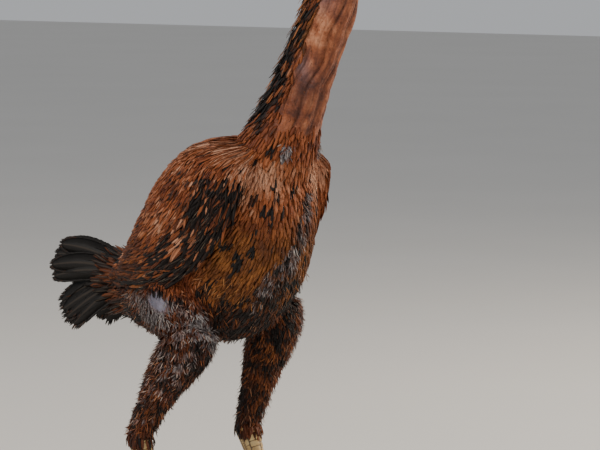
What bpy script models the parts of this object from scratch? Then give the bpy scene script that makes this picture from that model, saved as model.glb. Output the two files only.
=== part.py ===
"""A standing pit game fowl at life size, made as separate closed solids.

The bird faces +X, its left side is +Y and the floor is z = 0. All sizes are in metres.
"""

import math

import bmesh
import bpy
import numpy as np
from mathutils import Vector

GAP = 0.0003  # clear gap between two solids that meet
CENTRE_X = 0.0045  # moves the finished bird along x so that its box is centred on the origin

# Each station: x, y, z, half width, half size behind, half size in front
TORSO = [
    (0.066, 0, 0.424, 0.028, 0.020, 0.014),
    (0.060, 0, 0.410, 0.054, 0.040, 0.029),
    (0.050, 0, 0.385, 0.069, 0.055, 0.050),
    (0.032, 0, 0.355, 0.078, 0.073, 0.074),
    (0.008, 0, 0.325, 0.081, 0.083, 0.092),
    (-0.022, 0, 0.298, 0.076, 0.081, 0.095),
    (-0.055, 0, 0.278, 0.066, 0.071, 0.075),
    (-0.088, 0, 0.267, 0.053, 0.054, 0.056),
    (-0.116, 0, 0.267, 0.038, 0.034, 0.040),
    (-0.134, 0, 0.270, 0.019, 0.017, 0.022),
]
NECK = [
    (0.1515, 0, 0.607, 0.0165, 0.0175, 0.0195),
    (0.1460, 0, 0.591, 0.0195, 0.0215, 0.0240),
    (0.1370, 0, 0.573, 0.0228, 0.0252, 0.0282),
    (0.1250, 0, 0.547, 0.0245, 0.0270, 0.0295),
    (0.1120, 0, 0.517, 0.0255, 0.0280, 0.0295),
    (0.0980, 0, 0.485, 0.0275, 0.0310, 0.0310),
    (0.0840, 0, 0.452, 0.0320, 0.0350, 0.0335),
    (0.0690, 0, 0.420, 0.0410, 0.0420, 0.0370),
    (0.0540, 0, 0.392, 0.0480, 0.0460, 0.0400),
]
EYE_X = 0.1680
EYE_Z = 0.6200
HEAD = 1.14  # the numbers of the head, beak and comb grow by this much
# Measured from the eye: forward, up, then half width, half size above and below
SKULL = [
    (0.0225, -0.0018, 0.0070, 0.0085, 0.0090),
    (0.0150, -0.0008, 0.0110, 0.0128, 0.0138),
    (0.0050, 0.0000, 0.0142, 0.0160, 0.0165),
    (-0.0070, 0.0000, 0.0160, 0.0175, 0.0190),
    (-0.0180, -0.0010, 0.0155, 0.0160, 0.0200),
    (-0.0270, -0.0030, 0.0125, 0.0115, 0.0175),
    (-0.0320, -0.0050, 0.0065, 0.0055, 0.0100),
]
EYE_RADIUS = 0.0066
EYE_SIDE = 0.0114
BEAK_UPPER = [
    (0.0372, -0.0092, 0.0011, 0.0010, 0.0011),
    (0.0352, -0.0054, 0.0030, 0.0032, 0.0028),
    (0.0310, -0.0032, 0.0048, 0.0056, 0.0032),
    (0.0255, -0.0018, 0.0062, 0.0074, 0.0034),
    (0.0185, -0.0010, 0.0074, 0.0088, 0.0036),
]
BEAK_LOWER = [
    (0.0332, -0.0082, 0.0016, 0.0010, 0.0010),
    (0.0300, -0.0080, 0.0036, 0.0024, 0.0024),
    (0.0250, -0.0078, 0.0050, 0.0030, 0.0034),
    (0.0185, -0.0078, 0.0062, 0.0034, 0.0044),
]
COMB_LENGTH = 0.026
COMB_ROWS = 3
COMB_BULBS = 5
WATTLE_LENGTH = 0.015

# The right leg stands back and the left leg stands forward
HIP = {-1: (-0.047, 0.036, 0.276), 1: (-0.044, 0.036, 0.284)}
KNEE = {-1: (0.005, 0.060, 0.223), 1: (0.021, 0.061, 0.243)}
HOCK = {-1: (-0.075, 0.056, 0.113), 1: (-0.019, 0.056, 0.115)}
PAD = {-1: (-0.044, 0.058, 0.012), 1: (0.018, 0.060, 0.012)}
THIGH_RADII = (0.030, 0.041, 0.040, 0.034, 0.022)
DRUMSTICK_RADII = (0.0200, 0.0275, 0.0270, 0.0240, 0.0205, 0.0172, 0.0155, 0.0140)
DRUMSTICK_BOW = {-1: -0.007, 1: -0.002}
SHANK_RADII = (0.0125, 0.0105, 0.0088, 0.0082, 0.0084, 0.0098, 0.0112)
SHANK_SCUTES = 12
SCUTE_HEIGHT = 0.0007
# Each toe: turn from straight ahead (outwards is positive), length, radius at its root
TOES = {
    "middle": (4, 0.068, 0.0072),
    "inner": (-36, 0.050, 0.0064),
    "outer": (41, 0.055, 0.0062),
    "hind": (166, 0.027, 0.0056),
}
CLAW_LENGTH = 0.0125
SPUR_LENGTH = 0.008

WING_START = 0.75  # torso station where the folded wing begins
WING_END = 7.9  # torso station level with the wing's tip
WING_ROOM = 0.0050  # what the wing's feathers rise above it, with a gap
WING_MARGIN = 1700  # degrees past the wing's edges for each metre of that room
TAIL_ROOT_X = -0.116
TAIL_ROOT_Z = 0.268
TAIL_CORE = [
    (-0.118, 0, 0.268, 0.024, 0.022, 0.022),
    (-0.135, 0, 0.268, 0.021, 0.024, 0.025),
    (-0.152, 0, 0.268, 0.017, 0.022, 0.024),
    (-0.168, 0, 0.268, 0.010, 0.014, 0.016),
]
# Pitch in degrees above the level and length, from the top feather down, and the same for coverts
TAIL_FEATHERS = [(19, 0.110), (10, 0.112), (1, 0.106), (-14, 0.098), (-24, 0.094), (-33, 0.086)]
TAIL_COVERTS = [(17, 0.062), (-20, 0.058)]
TAIL_WIDTH = 0.026

# Places of a feather's cross-sections along it, with its width there as a share of the widest
VANE_SHARES = (0.0, 0.33, 0.70, 0.93, 1.0)
VANE_WIDTHS = (0.50, 0.90, 1.0, 0.62)

# Each tier: count, root and tip along the wing, lowest and highest angle, width, lift of the tip
SECONDARIES = (7, 0.40, 1.06, -7, 62, 0.021, 0.0012)
PRIMARIES = (3, 0.46, 1.10, -15, -8, 0.015, 0.0015)
GREATER_COVERTS = (6, 0.20, 0.50, -12, 60, 0.025, 0.0016)
# Each row of neck locks: share of the neck at the roots, count, angles from the nape, length, lift
HACKLE_ROWS = [
    (0.16, 5, 58, 0.15, 0.004),
    (0.38, 5, 66, 0.16, 0.005),
    (0.60, 6, 72, 0.16, 0.006),
]
HACKLE_WIDTH = 0.011


def clear_scene():
    for old in list(bpy.data.objects):
        bpy.data.objects.remove(old)


def material(name, colour, roughness):
    made = bpy.data.materials.new(name)
    made.use_nodes = True
    shader = made.node_tree.nodes["Principled BSDF"]
    shader.inputs["Base Color"].default_value = (*colour, 1)
    shader.inputs["Roughness"].default_value = roughness
    shader.inputs["Metallic"].default_value = 0
    return made


def through(rows, share):
    """A smooth curve through rows of numbers, at a share from 0 to 1 of its length."""
    rows = np.asarray(rows, float)
    place = min(max(share, 0), 1) * (len(rows) - 1)
    first = min(int(place), len(rows) - 2)
    t = place - first
    before, start = rows[max(first - 1, 0)], rows[first]
    end, after = rows[first + 1], rows[min(first + 2, len(rows) - 1)]
    leave, arrive = (end - before) / 2, (after - start) / 2
    return (
        (2 * t**3 - 3 * t**2 + 1) * start
        + (t**3 - 2 * t**2 + t) * leave
        + (3 * t**2 - 2 * t**3) * end
        + (t**3 - t**2) * arrive
    )


class Body:
    """A rounded form drawn through stations: x, y, z, half width, half size behind and in front."""

    def __init__(self, stations, scutes=0):
        self.rows = np.array(stations, float)
        self.scutes = scutes

    def axes(self, share):
        ahead = through(self.rows, share + 0.01)[:3]
        behind = through(self.rows, share - 0.01)[:3]
        along = Vector(ahead - behind).normalized()
        side = (Vector((0, 1, 0)) - along * along.y).normalized()
        return along, side, side.cross(along)

    def skin(self, share, angle, lift=0.0):
        """A point of the surface; the angle runs from the +Y side (0) over the back (90 degrees)."""
        row = through(self.rows, share)
        _, side, back = self.axes(share)
        across, over = math.cos(angle), math.sin(angle)
        depth = row[4] if over > 0 else row[5]
        if self.scutes and over < 0:
            step = (share * self.scutes) % 1
            depth += SCUTE_HEIGHT * step * min(1, -2 * over)
        reach = side * ((row[3] + lift) * across) + back * ((depth + lift) * over)
        return Vector(row[:3]) + reach


def add_loops(mesh, loops, first_pole, last_pole):
    """Skins a row of vertex loops into one closed form, with a fan of faces on each end."""
    count = len(loops[0])
    for one, two in zip(loops, loops[1:]):
        for i in range(count):
            j = (i + 1) % count
            mesh.faces.new((one[i], one[j], two[i]))
            mesh.faces.new((one[j], two[j], two[i]))
    for loop, pole in ((loops[0], first_pole), (loops[-1], last_pole)):
        tip = mesh.verts.new(pole)
        for i in range(count):
            mesh.faces.new((loop[i], loop[(i + 1) % count], tip))


def body_mesh(body, shares, sides, lift=0.0, turn=0.5):
    """A closed mesh of a body, with a ring of points at each share of its length."""
    mesh = bmesh.new()
    loops = []
    for share in shares:
        ring = [body.skin(share, 2 * math.pi * (i + turn) / sides, lift) for i in range(sides)]
        loops.append([mesh.verts.new(point) for point in ring])
    poles = []
    for share, way in ((shares[0], -1), (shares[-1], 1)):
        row = through(body.rows, share)
        along, _, _ = body.axes(share)
        reach = 0.35 * min(row[3:6]) + lift
        poles.append(Vector(row[:3]) + along * (reach * way))
    add_loops(mesh, loops, *poles)
    return mesh


def even(count, first=0.0, last=1.0):
    return [first + (last - first) * i / (count - 1) for i in range(count)]


def scute_shares(count):
    """Two rings for each scute: low at its upper edge, raised at its lower edge."""
    edge = 0.06
    return [(i + part) / count for i in range(count) for part in (edge, 1 - edge)]


def to_object(mesh, name, look=None, smooth=True):
    bmesh.ops.recalc_face_normals(mesh, faces=mesh.faces)
    bmesh.ops.triangulate(mesh, faces=mesh.faces)
    if mesh.calc_volume(signed=True) < 0:
        bmesh.ops.reverse_faces(mesh, faces=mesh.faces)
    data = bpy.data.meshes.new(name)
    mesh.to_mesh(data)
    mesh.free()
    made = bpy.data.objects.new(name, data)
    bpy.context.scene.collection.objects.link(made)
    if look:
        data.materials.append(look)
    if smooth:
        data.shade_smooth()
    return made


def vane(places, width, thickness, tilt=0.0):
    """A closed feather: its places are points with the way they face, from its root to its tip."""
    mesh = bmesh.new()
    loops = []
    for i, share in enumerate(VANE_WIDTHS):
        point, face = places[i]
        ahead = (places[i + 1][0] - places[max(i - 1, 0)][0]).normalized()
        across = face.cross(ahead).normalized()
        up = ahead.cross(across)
        edge = (across + up * tilt) * (width / 2 * share)
        offsets = (edge, up * (0.6 * thickness), -edge, up * (-0.4 * thickness))
        loops.append([mesh.verts.new(point + offset) for offset in offsets])
    start = places[0][0] - (places[1][0] - places[0][0]).normalized() * (width / 8)
    add_loops(mesh, loops, start, places[-1][0])
    return mesh


def ball(centre, radii, rings=8, sides=12, turn=0.0):
    """A closed ellipsoid, turned about the y axis."""
    mesh = bmesh.new()
    bmesh.ops.create_uvsphere(mesh, u_segments=sides, v_segments=rings, radius=1)
    for vert in mesh.verts:
        x, y, z = (c * r for c, r in zip(vert.co, radii))
        vert.co = Vector(
            (
                x * math.cos(turn) + z * math.sin(turn),
                y,
                z * math.cos(turn) - x * math.sin(turn),
            )
        ) + Vector(centre)
    return mesh


def hoop(centre, radius, thickness, stretch=1.0, sides=14, around=6):
    """A closed ring standing in the x-z plane."""
    mesh = bmesh.new()
    loops = []
    for i in range(sides):
        turn = 2 * math.pi * i / sides
        out = Vector((math.cos(turn) * stretch, 0, math.sin(turn)))
        loop = []
        for j in range(around):
            roll = 2 * math.pi * j / around
            offset = out * (radius + thickness * math.cos(roll))
            loop.append(
                mesh.verts.new(Vector(centre) + offset + Vector((0, thickness * math.sin(roll), 0)))
            )
        loops.append(loop)
    for i in range(sides):
        one, two = loops[i], loops[(i + 1) % sides]
        for j in range(around):
            k = (j + 1) % around
            mesh.faces.new((one[j], one[k], two[k], two[j]))
    return mesh


def box(low, high):
    mesh = bmesh.new()
    bmesh.ops.create_cube(mesh, size=1)
    low, high = Vector(low), Vector(high)
    for vert in mesh.verts:
        vert.co = Vector(low[i] + (high[i] - low[i]) * (vert.co[i] + 0.5) for i in range(3))
    return mesh


def settle(made):
    """Puts what the modifiers make into the object's own mesh."""
    graph = bpy.context.evaluated_depsgraph_get()
    data = bpy.data.meshes.new_from_object(made.evaluated_get(graph))
    made.modifiers.clear()
    made.data = data


def keep_largest(made):
    """Keeps only the largest closed surface of an object."""
    mesh = bmesh.new()
    mesh.from_mesh(made.data)
    bmesh.ops.triangulate(mesh, faces=mesh.faces)
    left = set(mesh.verts)
    groups = []
    while left:
        edge = [left.pop()]
        group = set(edge)
        while edge:
            for link in edge.pop().link_edges:
                for vert in link.verts:
                    if vert in left:
                        left.remove(vert)
                        group.add(vert)
                        edge.append(vert)
        faces = {face for vert in group for face in vert.link_faces}
        volume = sum(
            face.verts[0].co.dot(face.verts[1].co.cross(face.verts[2].co)) for face in faces
        )
        groups.append((volume, group))
    groups.sort(key=lambda entry: entry[0])
    loose = [vert for _, group in groups[:-1] for vert in group]
    bmesh.ops.delete(mesh, geom=loose, context="VERTS")
    mesh.to_mesh(made.data)
    mesh.free()


def fuse(made, pieces, solver="EXACT"):
    """Joins closed meshes to an object with one Boolean union."""
    group = bpy.data.collections.new("pieces of " + made.name)
    bpy.context.scene.collection.children.link(group)
    for i, piece in enumerate(pieces):
        extra = to_object(piece, f"{made.name} piece {i}")
        bpy.context.scene.collection.objects.unlink(extra)
        group.objects.link(extra)
    join = made.modifiers.new("Join", "BOOLEAN")
    join.operation = "UNION"
    join.operand_type = "COLLECTION"
    join.collection = group
    join.solver = solver
    settle(made)
    for extra in list(group.objects):
        bpy.data.objects.remove(extra)
    bpy.data.collections.remove(group)
    keep_largest(made)


def cut(made, cutters):
    """Takes closed meshes away from an object."""
    for cutter in cutters:
        tool = to_object(cutter, made.name + " cutter")
        trim = made.modifiers.new("Trim", "BOOLEAN")
        trim.operation = "DIFFERENCE"
        trim.solver = "EXACT"
        trim.object = tool
        settle(made)
        bpy.data.objects.remove(tool)
    keep_largest(made)


def torso_body():
    return Body(TORSO)


TORSO_SHARES = [0, *even(17, 0.035, 0.965), 1]


def make_torso(look):
    return to_object(body_mesh(torso_body(), TORSO_SHARES, 24), "torso", look)


def torso_cutter():
    return body_mesh(torso_body(), TORSO_SHARES, 24, lift=2 * GAP)


NECK_SHARES = even(14)


def neck_lock(share, turn, length, rise):
    """A tapered lock of hackle feathers that lies down the neck and lifts at its tip."""
    body = Body(NECK)
    angle = math.radians(90 + turn)
    places = []
    for part in VANE_SHARES:
        lift = rise * part**1.5 - 0.0012
        place = share + length * part
        point = body.skin(place, angle, lift)
        places.append((point, body.skin(place, angle, lift + 0.01) - point))
    return vane(places, HACKLE_WIDTH, 0.0032)


def hackle():
    locks = []
    for share, count, spread, length, rise in HACKLE_ROWS:
        for i in range(count):
            turn = spread * (2 * i / (count - 1) - 1)
            locks.append(neck_lock(share + 0.015 * (i % 2), turn, length, rise))
    return locks


def make_neck(look):
    made = to_object(body_mesh(Body(NECK), NECK_SHARES, 20), "neck", look)
    fuse(made, hackle())
    cut(made, [torso_cutter()])
    return made


def head_place(x, y, z):
    """A place on the head, measured forward, sideways and up from between the eyes."""
    return Vector((EYE_X + HEAD * x, HEAD * y, EYE_Z + HEAD * z))


def head_body(stations):
    rows = []
    for x, z, *sizes in stations:
        rows.append((*head_place(x, 0, z), *(HEAD * size for size in sizes)))
    return Body(rows)


def head_ball(place, radii, rings=5, sides=8, turn=0.0):
    return ball(head_place(*place), [HEAD * radius for radius in radii], rings, sides, turn)


def skull_mesh(lift=0.0):
    return body_mesh(head_body(SKULL), even(10), 16, lift)


def upper_beak_mesh(lift=0.0):
    return body_mesh(head_body(BEAK_UPPER), even(7), 10, lift)


def lower_beak_mesh(lift=0.0):
    return body_mesh(head_body(BEAK_LOWER), even(5), 10, lift)


def make_head(look):
    made = to_object(skull_mesh(), "head", look)
    extras = []
    for side in (-1, 1):
        extras.append(
            head_ball((0.001, side * 0.0118, 0.0082), (0.0095, 0.0040, 0.0026), 5, 8, turn=0.12)
        )
        extras.append(hoop(head_place(0, side * 0.0147, 0), 0.0060, 0.0014, 1.1, 11, 4))
        extras.append(hoop(head_place(-0.0165, side * 0.0150, -0.0045), 0.0036, 0.0013, 1, 8, 4))
        extras.append(head_ball((-0.0150, side * 0.0135, -0.0125), (0.0040, 0.0034, 0.0058)))
    fuse(made, extras)
    cutters = [box(head_place(0.011, -0.02, -0.0058), head_place(0.03, 0.02, -0.0050))]
    for side in (-1, 1):
        socket = EYE_RADIUS + GAP
        cutters.append(ball((EYE_X, side * EYE_SIDE, EYE_Z), (socket,) * 3, 8, 12))
        cutters.append(head_ball((-0.0165, side * 0.0168, -0.0045), (0.0026, 0.0034, 0.0026)))
    cutters.append(body_mesh(Body(NECK), NECK_SHARES, 20, lift=2 * GAP))
    cut(made, cutters)


def make_eye(name, side, look):
    centre = (EYE_X, side * EYE_SIDE, EYE_Z)
    return to_object(ball(centre, (EYE_RADIUS,) * 3, 8, 12), name, look)


def make_beak(look):
    upper = to_object(upper_beak_mesh(), "beak_upper", look)
    flaps, nostrils = [], []
    for side in (-1, 1):
        flaps.append(head_ball((0.0250, side * 0.0056, 0.0034), (0.0034, 0.0014, 0.0012), turn=0.35))
        nostrils.append(
            head_ball((0.0252, side * 0.0066, 0.0014), (0.0024, 0.0018, 0.0010), turn=0.35)
        )
    fuse(upper, flaps)
    cut(upper, [*nostrils, skull_mesh(2 * GAP)])
    lower = to_object(lower_beak_mesh(), "beak_lower", look)
    cut(lower, [upper_beak_mesh(2 * GAP), skull_mesh(2 * GAP)])


def comb_bulbs():
    """The three rows of a pea comb; the middle row is the tallest."""
    bulbs = []
    for row in range(COMB_ROWS):
        side = row - (COMB_ROWS - 1) / 2
        for i in range(COMB_BULBS):
            share = i / (COMB_BULBS - 1)
            x = 0.021 - COMB_LENGTH * share
            top = 0.0075 + 0.0080 * math.sin(math.pi * (0.08 + 0.45 * share))
            height = 0.0040 + 0.0016 * math.sin(math.pi * share) - 0.0012 * abs(side)
            bulbs.append(head_ball((x, side * 0.0042, top), (0.0034, 0.0028, height), 5, 6))
    return bulbs


def make_comb(look):
    base = head_ball((0.009, 0, 0.0125), (0.0145, 0.0062, 0.0050), 7, 12, turn=0.38)
    made = to_object(base, "comb", look)
    fuse(made, comb_bulbs())
    cut(made, [skull_mesh(2 * GAP), upper_beak_mesh(2 * GAP)])


def make_wattle(name, side, look):
    x, y, z = 0.0145, side * 0.0056, -0.0170
    made = to_object(head_ball((x, y, z), (0.0052, 0.0019, WATTLE_LENGTH / 2), 7, 10), name, look)
    fuse(made, [head_ball((x - 0.0038, y + side * 0.0006, z + 0.002), (0.0026, 0.0015, 0.0055))])
    cut(made, [skull_mesh(2 * GAP), lower_beak_mesh(2 * GAP)])


def limb(start, end, side, radii, deep=1.0, bow=0.0):
    """A body from one joint to the next, with radii at even steps and a bow forwards."""
    start, end = Vector(start), Vector(end)
    rows = []
    for i, radius in enumerate(radii):
        share = i / (len(radii) - 1)
        place = start.lerp(end, share)
        place.x += bow * math.sin(math.pi * share)
        rows.append((place.x, side * place.y, place.z, radius, radius * deep, radius * deep))
    return rows


def thigh_body(side):
    return Body(limb(HIP[side], KNEE[side], side, THIGH_RADII, deep=1.05))


def drumstick_body(side):
    start = Vector(KNEE[side]).lerp(Vector(HOCK[side]), -0.10)
    bow = DRUMSTICK_BOW[side]
    return Body(limb(start, HOCK[side], side, DRUMSTICK_RADII, deep=1.04, bow=bow))


def shank_body(side):
    rows = limb(HOCK[side], PAD[side], side, SHANK_RADII, deep=1.06)
    return Body(rows, scutes=SHANK_SCUTES)


def make_leg(name, side, skin, scale, horn):
    thigh = to_object(body_mesh(thigh_body(side), even(8), 14), "thigh_" + name, skin)
    cut(thigh, [torso_cutter(), *wing_rooms(side)])
    drumstick = to_object(
        body_mesh(drumstick_body(side), even(10), 14), "drumstick_" + name, skin
    )
    thigh_space = body_mesh(thigh_body(side), even(8), 14, lift=2 * GAP)
    cut(drumstick, [thigh_space, torso_cutter()])
    shank = to_object(
        body_mesh(shank_body(side), scute_shares(SHANK_SCUTES), 10), "shank_" + name, scale
    )
    cut(shank, [body_mesh(drumstick_body(side), even(10), 14, lift=2 * GAP)])
    make_foot(name, side, scale, horn)
    cut(shank, [pad_mesh(side, 2 * GAP)] + [toe_mesh(side, toe, 2 * GAP) for toe in TOES])
    make_spur(name, side, horn)


def toe_body(side, toe):
    """A toe: it leaves the pad, arches a little and comes down to the floor."""
    turn, length, radius = TOES[toe]
    heading = math.radians(turn) * side
    ahead = Vector((math.cos(heading), math.sin(heading), 0))
    pad = Vector((PAD[side][0], side * PAD[side][1], 0))
    steps = 7
    rows = []
    for i in range(steps):
        share = i / (steps - 1)
        size = radius * (1 - 0.42 * share)
        place = pad + ahead * (0.004 + length * share)
        place.z = size * 0.92 + 0.0035 * math.sin(math.pi * share) * (1 - share)
        size *= 1 + 0.07 * math.cos(3 * 2 * math.pi * share)
        rows.append((*place, size, size, size * 0.92))
    return Body(rows, scutes=max(3, round(length / 0.0085)))


def toe_mesh(side, toe, lift=0.0):
    body = toe_body(side, toe)
    mesh = body_mesh(body, scute_shares(body.scutes), 7, lift)
    for vert in mesh.verts:
        vert.co.z = max(vert.co.z, 0)
    return mesh


def pad_mesh(side, lift=0.0):
    x, y, _ = PAD[side]
    radii = (0.0125 + lift, 0.0120 + lift, 0.0118 + lift)
    mesh = ball((x + 0.001, side * y, 0.0095), radii, 8, 14)
    for vert in mesh.verts:
        vert.co.z = max(vert.co.z, 0)
    return mesh


def make_foot(name, side, scale, horn):
    foot = to_object(pad_mesh(side), "foot_" + name, scale)
    fuse(foot, [toe_mesh(side, toe) for toe in TOES])
    for toe in TOES:
        claw = to_object(claw_mesh(side, toe), f"claw_{toe}_{name}", horn)
        cut(claw, [toe_mesh(side, toe, 2 * GAP)])


def claw_mesh(side, toe):
    """A curved claw that leaves the end of its toe and comes down just above the floor."""
    turn, length, radius = TOES[toe]
    heading = math.radians(turn) * side
    ahead = Vector((math.cos(heading), math.sin(heading), 0))
    end = Vector((PAD[side][0], side * PAD[side][1], 0)) + ahead * (0.004 + length)
    steps = 5
    rows = []
    for i in range(steps):
        share = i / (steps - 1)
        size = radius * (0.44 - 0.36 * share)
        place = end + ahead * (CLAW_LENGTH * share - 0.003)
        place.z = radius * 0.60 * math.cos(0.5 * math.pi * share) + size + GAP
        rows.append((*place, size * 0.8, size, size))
    mesh = body_mesh(Body(rows), even(4), 6)
    for vert in mesh.verts:
        vert.co.z = max(vert.co.z, GAP)
    return mesh


def make_spur(name, side, horn):
    """A short spur on the inner, rear face of the shank."""
    body = shank_body(side)
    share = 0.70
    root = body.skin(share, math.radians(90 + side * 42))
    centre = Vector(through(body.rows, share)[:3])
    out = (root - centre).normalized()
    rows = []
    for i in range(4):
        part = i / 3
        size = 0.0042 * (1 - 0.75 * part)
        rows.append((*(root + out * (SPUR_LENGTH * part - 0.003)), size, size, size))
    spur = to_object(body_mesh(Body(rows), even(4), 7), "spur_" + name, horn)
    cut(spur, [body_mesh(body, scute_shares(SHANK_SCUTES), 10, lift=2 * GAP)])


def wing_edges(u):
    """The angles of the folded wing's lower and upper edge, with u from its front to its tip."""
    lower = 24 * (max(u - 0.25, 0) / 0.75) ** 1.2 - 20
    upper = 8 + 62 * (1 - min(max(u, 0), 1) ** 4)
    return lower, upper


def wing_inner_lift(u):
    """The folded wing lies on the body and stands off it towards the tip."""
    return -0.002 + 0.030 * max(u - 0.55, 0) ** 1.5


def wing_thickness(u, v):
    along = 0.0220 * math.exp(-(((u - 0.10) / 0.30) ** 2)) + 0.0110 - 0.004 * u
    edge = 1 - abs(2 * v - 1) ** 3
    front = min(1, (max(u, 0) / 0.12) ** 0.5 + 0.12)
    return 0.0018 + along * (0.42 + 0.58 * edge) * front


def wing_point(side, u, angle, lift):
    """A point over the torso, at an angle in degrees from the side towards the back."""
    share = (WING_START + (WING_END - WING_START) * u) / (len(TORSO) - 1)
    point = torso_body().skin(share, math.radians(angle), lift)
    return Vector((point.x, side * point.y, point.z))


def wing_mesh(side, grow=0.0, end=1.0):
    """The folded wing as a closed form between the body and its outer face."""
    mesh = bmesh.new()
    across, steps = 9, 12
    faces = []
    for outer in (False, True):
        grid = []
        for i in range(steps):
            u = end * i / (steps - 1)
            line = []
            for j in range(across):
                v = j / (across - 1)
                lift = wing_inner_lift(u) - (0.004 if grow and not outer else 0)
                if outer:
                    lift += wing_thickness(u, v) + grow
                lower, upper = wing_edges(u)
                angle = lower + (upper - lower) * v + WING_MARGIN * grow * (2 * v - 1)
                line.append(mesh.verts.new(wing_point(side, u, angle, lift)))
            grid.append(line)
        faces.append(grid)
    inner, outer = faces
    for grid in faces:
        for i in range(steps - 1):
            for j in range(across - 1):
                mesh.faces.new((grid[i][j], grid[i + 1][j], grid[i + 1][j + 1], grid[i][j + 1]))
    rim = [(i, 0) for i in range(steps)] + [(steps - 1, j) for j in range(1, across)]
    rim += [(i, across - 1) for i in range(steps - 2, -1, -1)]
    rim += [(0, j) for j in range(across - 2, 0, -1)]
    for (i, j), (k, m) in zip(rim, rim[1:] + rim[:1]):
        mesh.faces.new((inner[i][j], inner[k][m], outer[k][m], outer[i][j]))
    return mesh


def wing_rooms(side):
    """The room that the wing takes, and that of each long feather past its edge."""
    return [wing_mesh(side, WING_ROOM), *primaries(side, GAP), *secondaries(side, GAP)]


def wing_vane(side, root, tip, width, rise, tilt, room=0.0):
    """A feather on the folded wing from its root to its tip, each given as u and an angle."""
    places = []
    for share in VANE_SHARES:
        u = root[0] + (tip[0] - root[0]) * share
        angle = root[1] + (tip[1] - root[1]) * share
        lower, upper = wing_edges(u)
        v = min(max((angle - lower) / (upper - lower), 0), 1)
        lift = wing_inner_lift(u) + wing_thickness(u, v) + 0.0004
        lift += rise * share**2 - 0.0030 * (1 - share) ** 4
        point = wing_point(side, u, angle, lift)
        face = wing_point(side, u, angle, lift + 0.01) - point
        places.append((point, face))
    return vane(places, width + 4 * room, 0.0026 + 4 * room, side * tilt)


def secondaries(side, room=0.0):
    count, start, end, low, high, width, rise = SECONDARIES
    vanes = []
    for i in range(count):
        angle = low + (high - low) * i / (count - 1)
        reach = end * (1 - max(angle - 8, 0) / 66) ** 0.25
        tip = (reach, angle - 3)
        vanes.append(wing_vane(side, (start, angle), tip, width, rise, 0.16, room))
    return vanes


def primaries(side, room=0.0):
    count, start, end, low, high, width, rise = PRIMARIES
    vanes = []
    for i in range(count):
        share = i / (count - 1)
        root = (start, low + (high - low) * share)
        tip = (end - 0.13 * (1 - share), 1 + 7 * share)
        vanes.append(wing_vane(side, root, tip, width, rise, 0.16, room))
    return vanes


def greater_coverts(side):
    count, start, end, low, high, width, rise = GREATER_COVERTS
    vanes = []
    for i in range(count):
        angle = low + (high - low) * i / (count - 1)
        vanes.append(wing_vane(side, (start, angle), (end, angle), width, rise, 0.20))
    return vanes


def make_wing(name, side, look):
    made = to_object(wing_mesh(side), "wing_" + name, look)
    fuse(made, secondaries(side) + primaries(side) + greater_coverts(side))
    cut(made, [torso_cutter(), body_mesh(Body(NECK), NECK_SHARES, 20, lift=2 * GAP)])
    return made


def make_tail(look):
    made = to_object(body_mesh(Body(TAIL_CORE), even(7), 12), "tail", look)
    vanes = []
    for side in (-1, 1):
        for i, (pitch, length) in enumerate(TAIL_FEATHERS):
            vanes.append(tail_vane(side, 0.004 + 0.0024 * i, pitch, length, TAIL_WIDTH))
        for pitch, length in TAIL_COVERTS:
            vanes.append(tail_vane(side, 0.0175, pitch, length, TAIL_WIDTH * 0.8))
    fuse(made, vanes)
    cut(made, [torso_cutter(), *wing_rooms(-1), *wing_rooms(1)])
    return made


def tail_vane(side, start, pitch, length, width):
    """One tail feather: it stands on edge, leans out at its lower edge and spreads outwards."""
    tilt = math.radians(pitch)
    ahead = Vector((-math.cos(tilt), side * 0.10, math.sin(tilt)))
    face = Vector((0, side, 0.30))
    root = Vector((TAIL_ROOT_X, side * start, TAIL_ROOT_Z))
    places = []
    for share in VANE_SHARES:
        point = root + ahead * (length * share)
        point.z += 0.010 * math.sin(math.pi * share) * math.cos(tilt)
        places.append((point, face))
    return vane(places, width, 0.0022)


def centre_bird():
    """Hangs every part on one empty, which brings the middle of the bird's box to the origin."""
    parts = list(bpy.data.objects)
    bird = bpy.data.objects.new("bird", None)
    bpy.context.scene.collection.objects.link(bird)
    bird.location.x = CENTRE_X
    for made in parts:
        made.parent = bird


def main():
    clear_scene()
    plumage = material("plumage", (0.30, 0.10, 0.045), 0.75)
    bare_skin = material("bare_skin", (0.55, 0.15, 0.09), 0.55)
    dark = material("dark_feathers", (0.025, 0.02, 0.02), 0.5)
    scale = material("scales", (0.62, 0.46, 0.22), 0.5)
    horn = material("horn", (0.55, 0.47, 0.33), 0.4)
    eye = material("eye", (0.60, 0.36, 0.12), 0.1)
    make_torso(plumage)
    make_neck(plumage)
    make_head(bare_skin)
    make_beak(horn)
    make_comb(bare_skin)
    make_tail(dark)
    for name, side in (("right", -1), ("left", 1)):
        make_wing(name, side, plumage)
        make_leg(name, side, plumage, scale, horn)
        make_eye("eye_" + name, side, eye)
        make_wattle("wattle_" + name, side, bare_skin)
    centre_bird()


main()
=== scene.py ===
"""Looks of the australian pit game chicken: one skin, its coat of feathers, the head and the scaly feet.

Lengths are in metres, +X is forward, +Y is the bird's left and +Z is up. Side is -1 for right, 1 for left.
All numbers are the part's own; to_mesh sets every piece CENTRE_X forward, as the part is.
"""

import math
from typing import NamedTuple

import bmesh
import bpy
import numpy as np
from mathutils import Euler, Matrix, Vector, kdtree, noise
from mathutils.bvhtree import BVHTree


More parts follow.
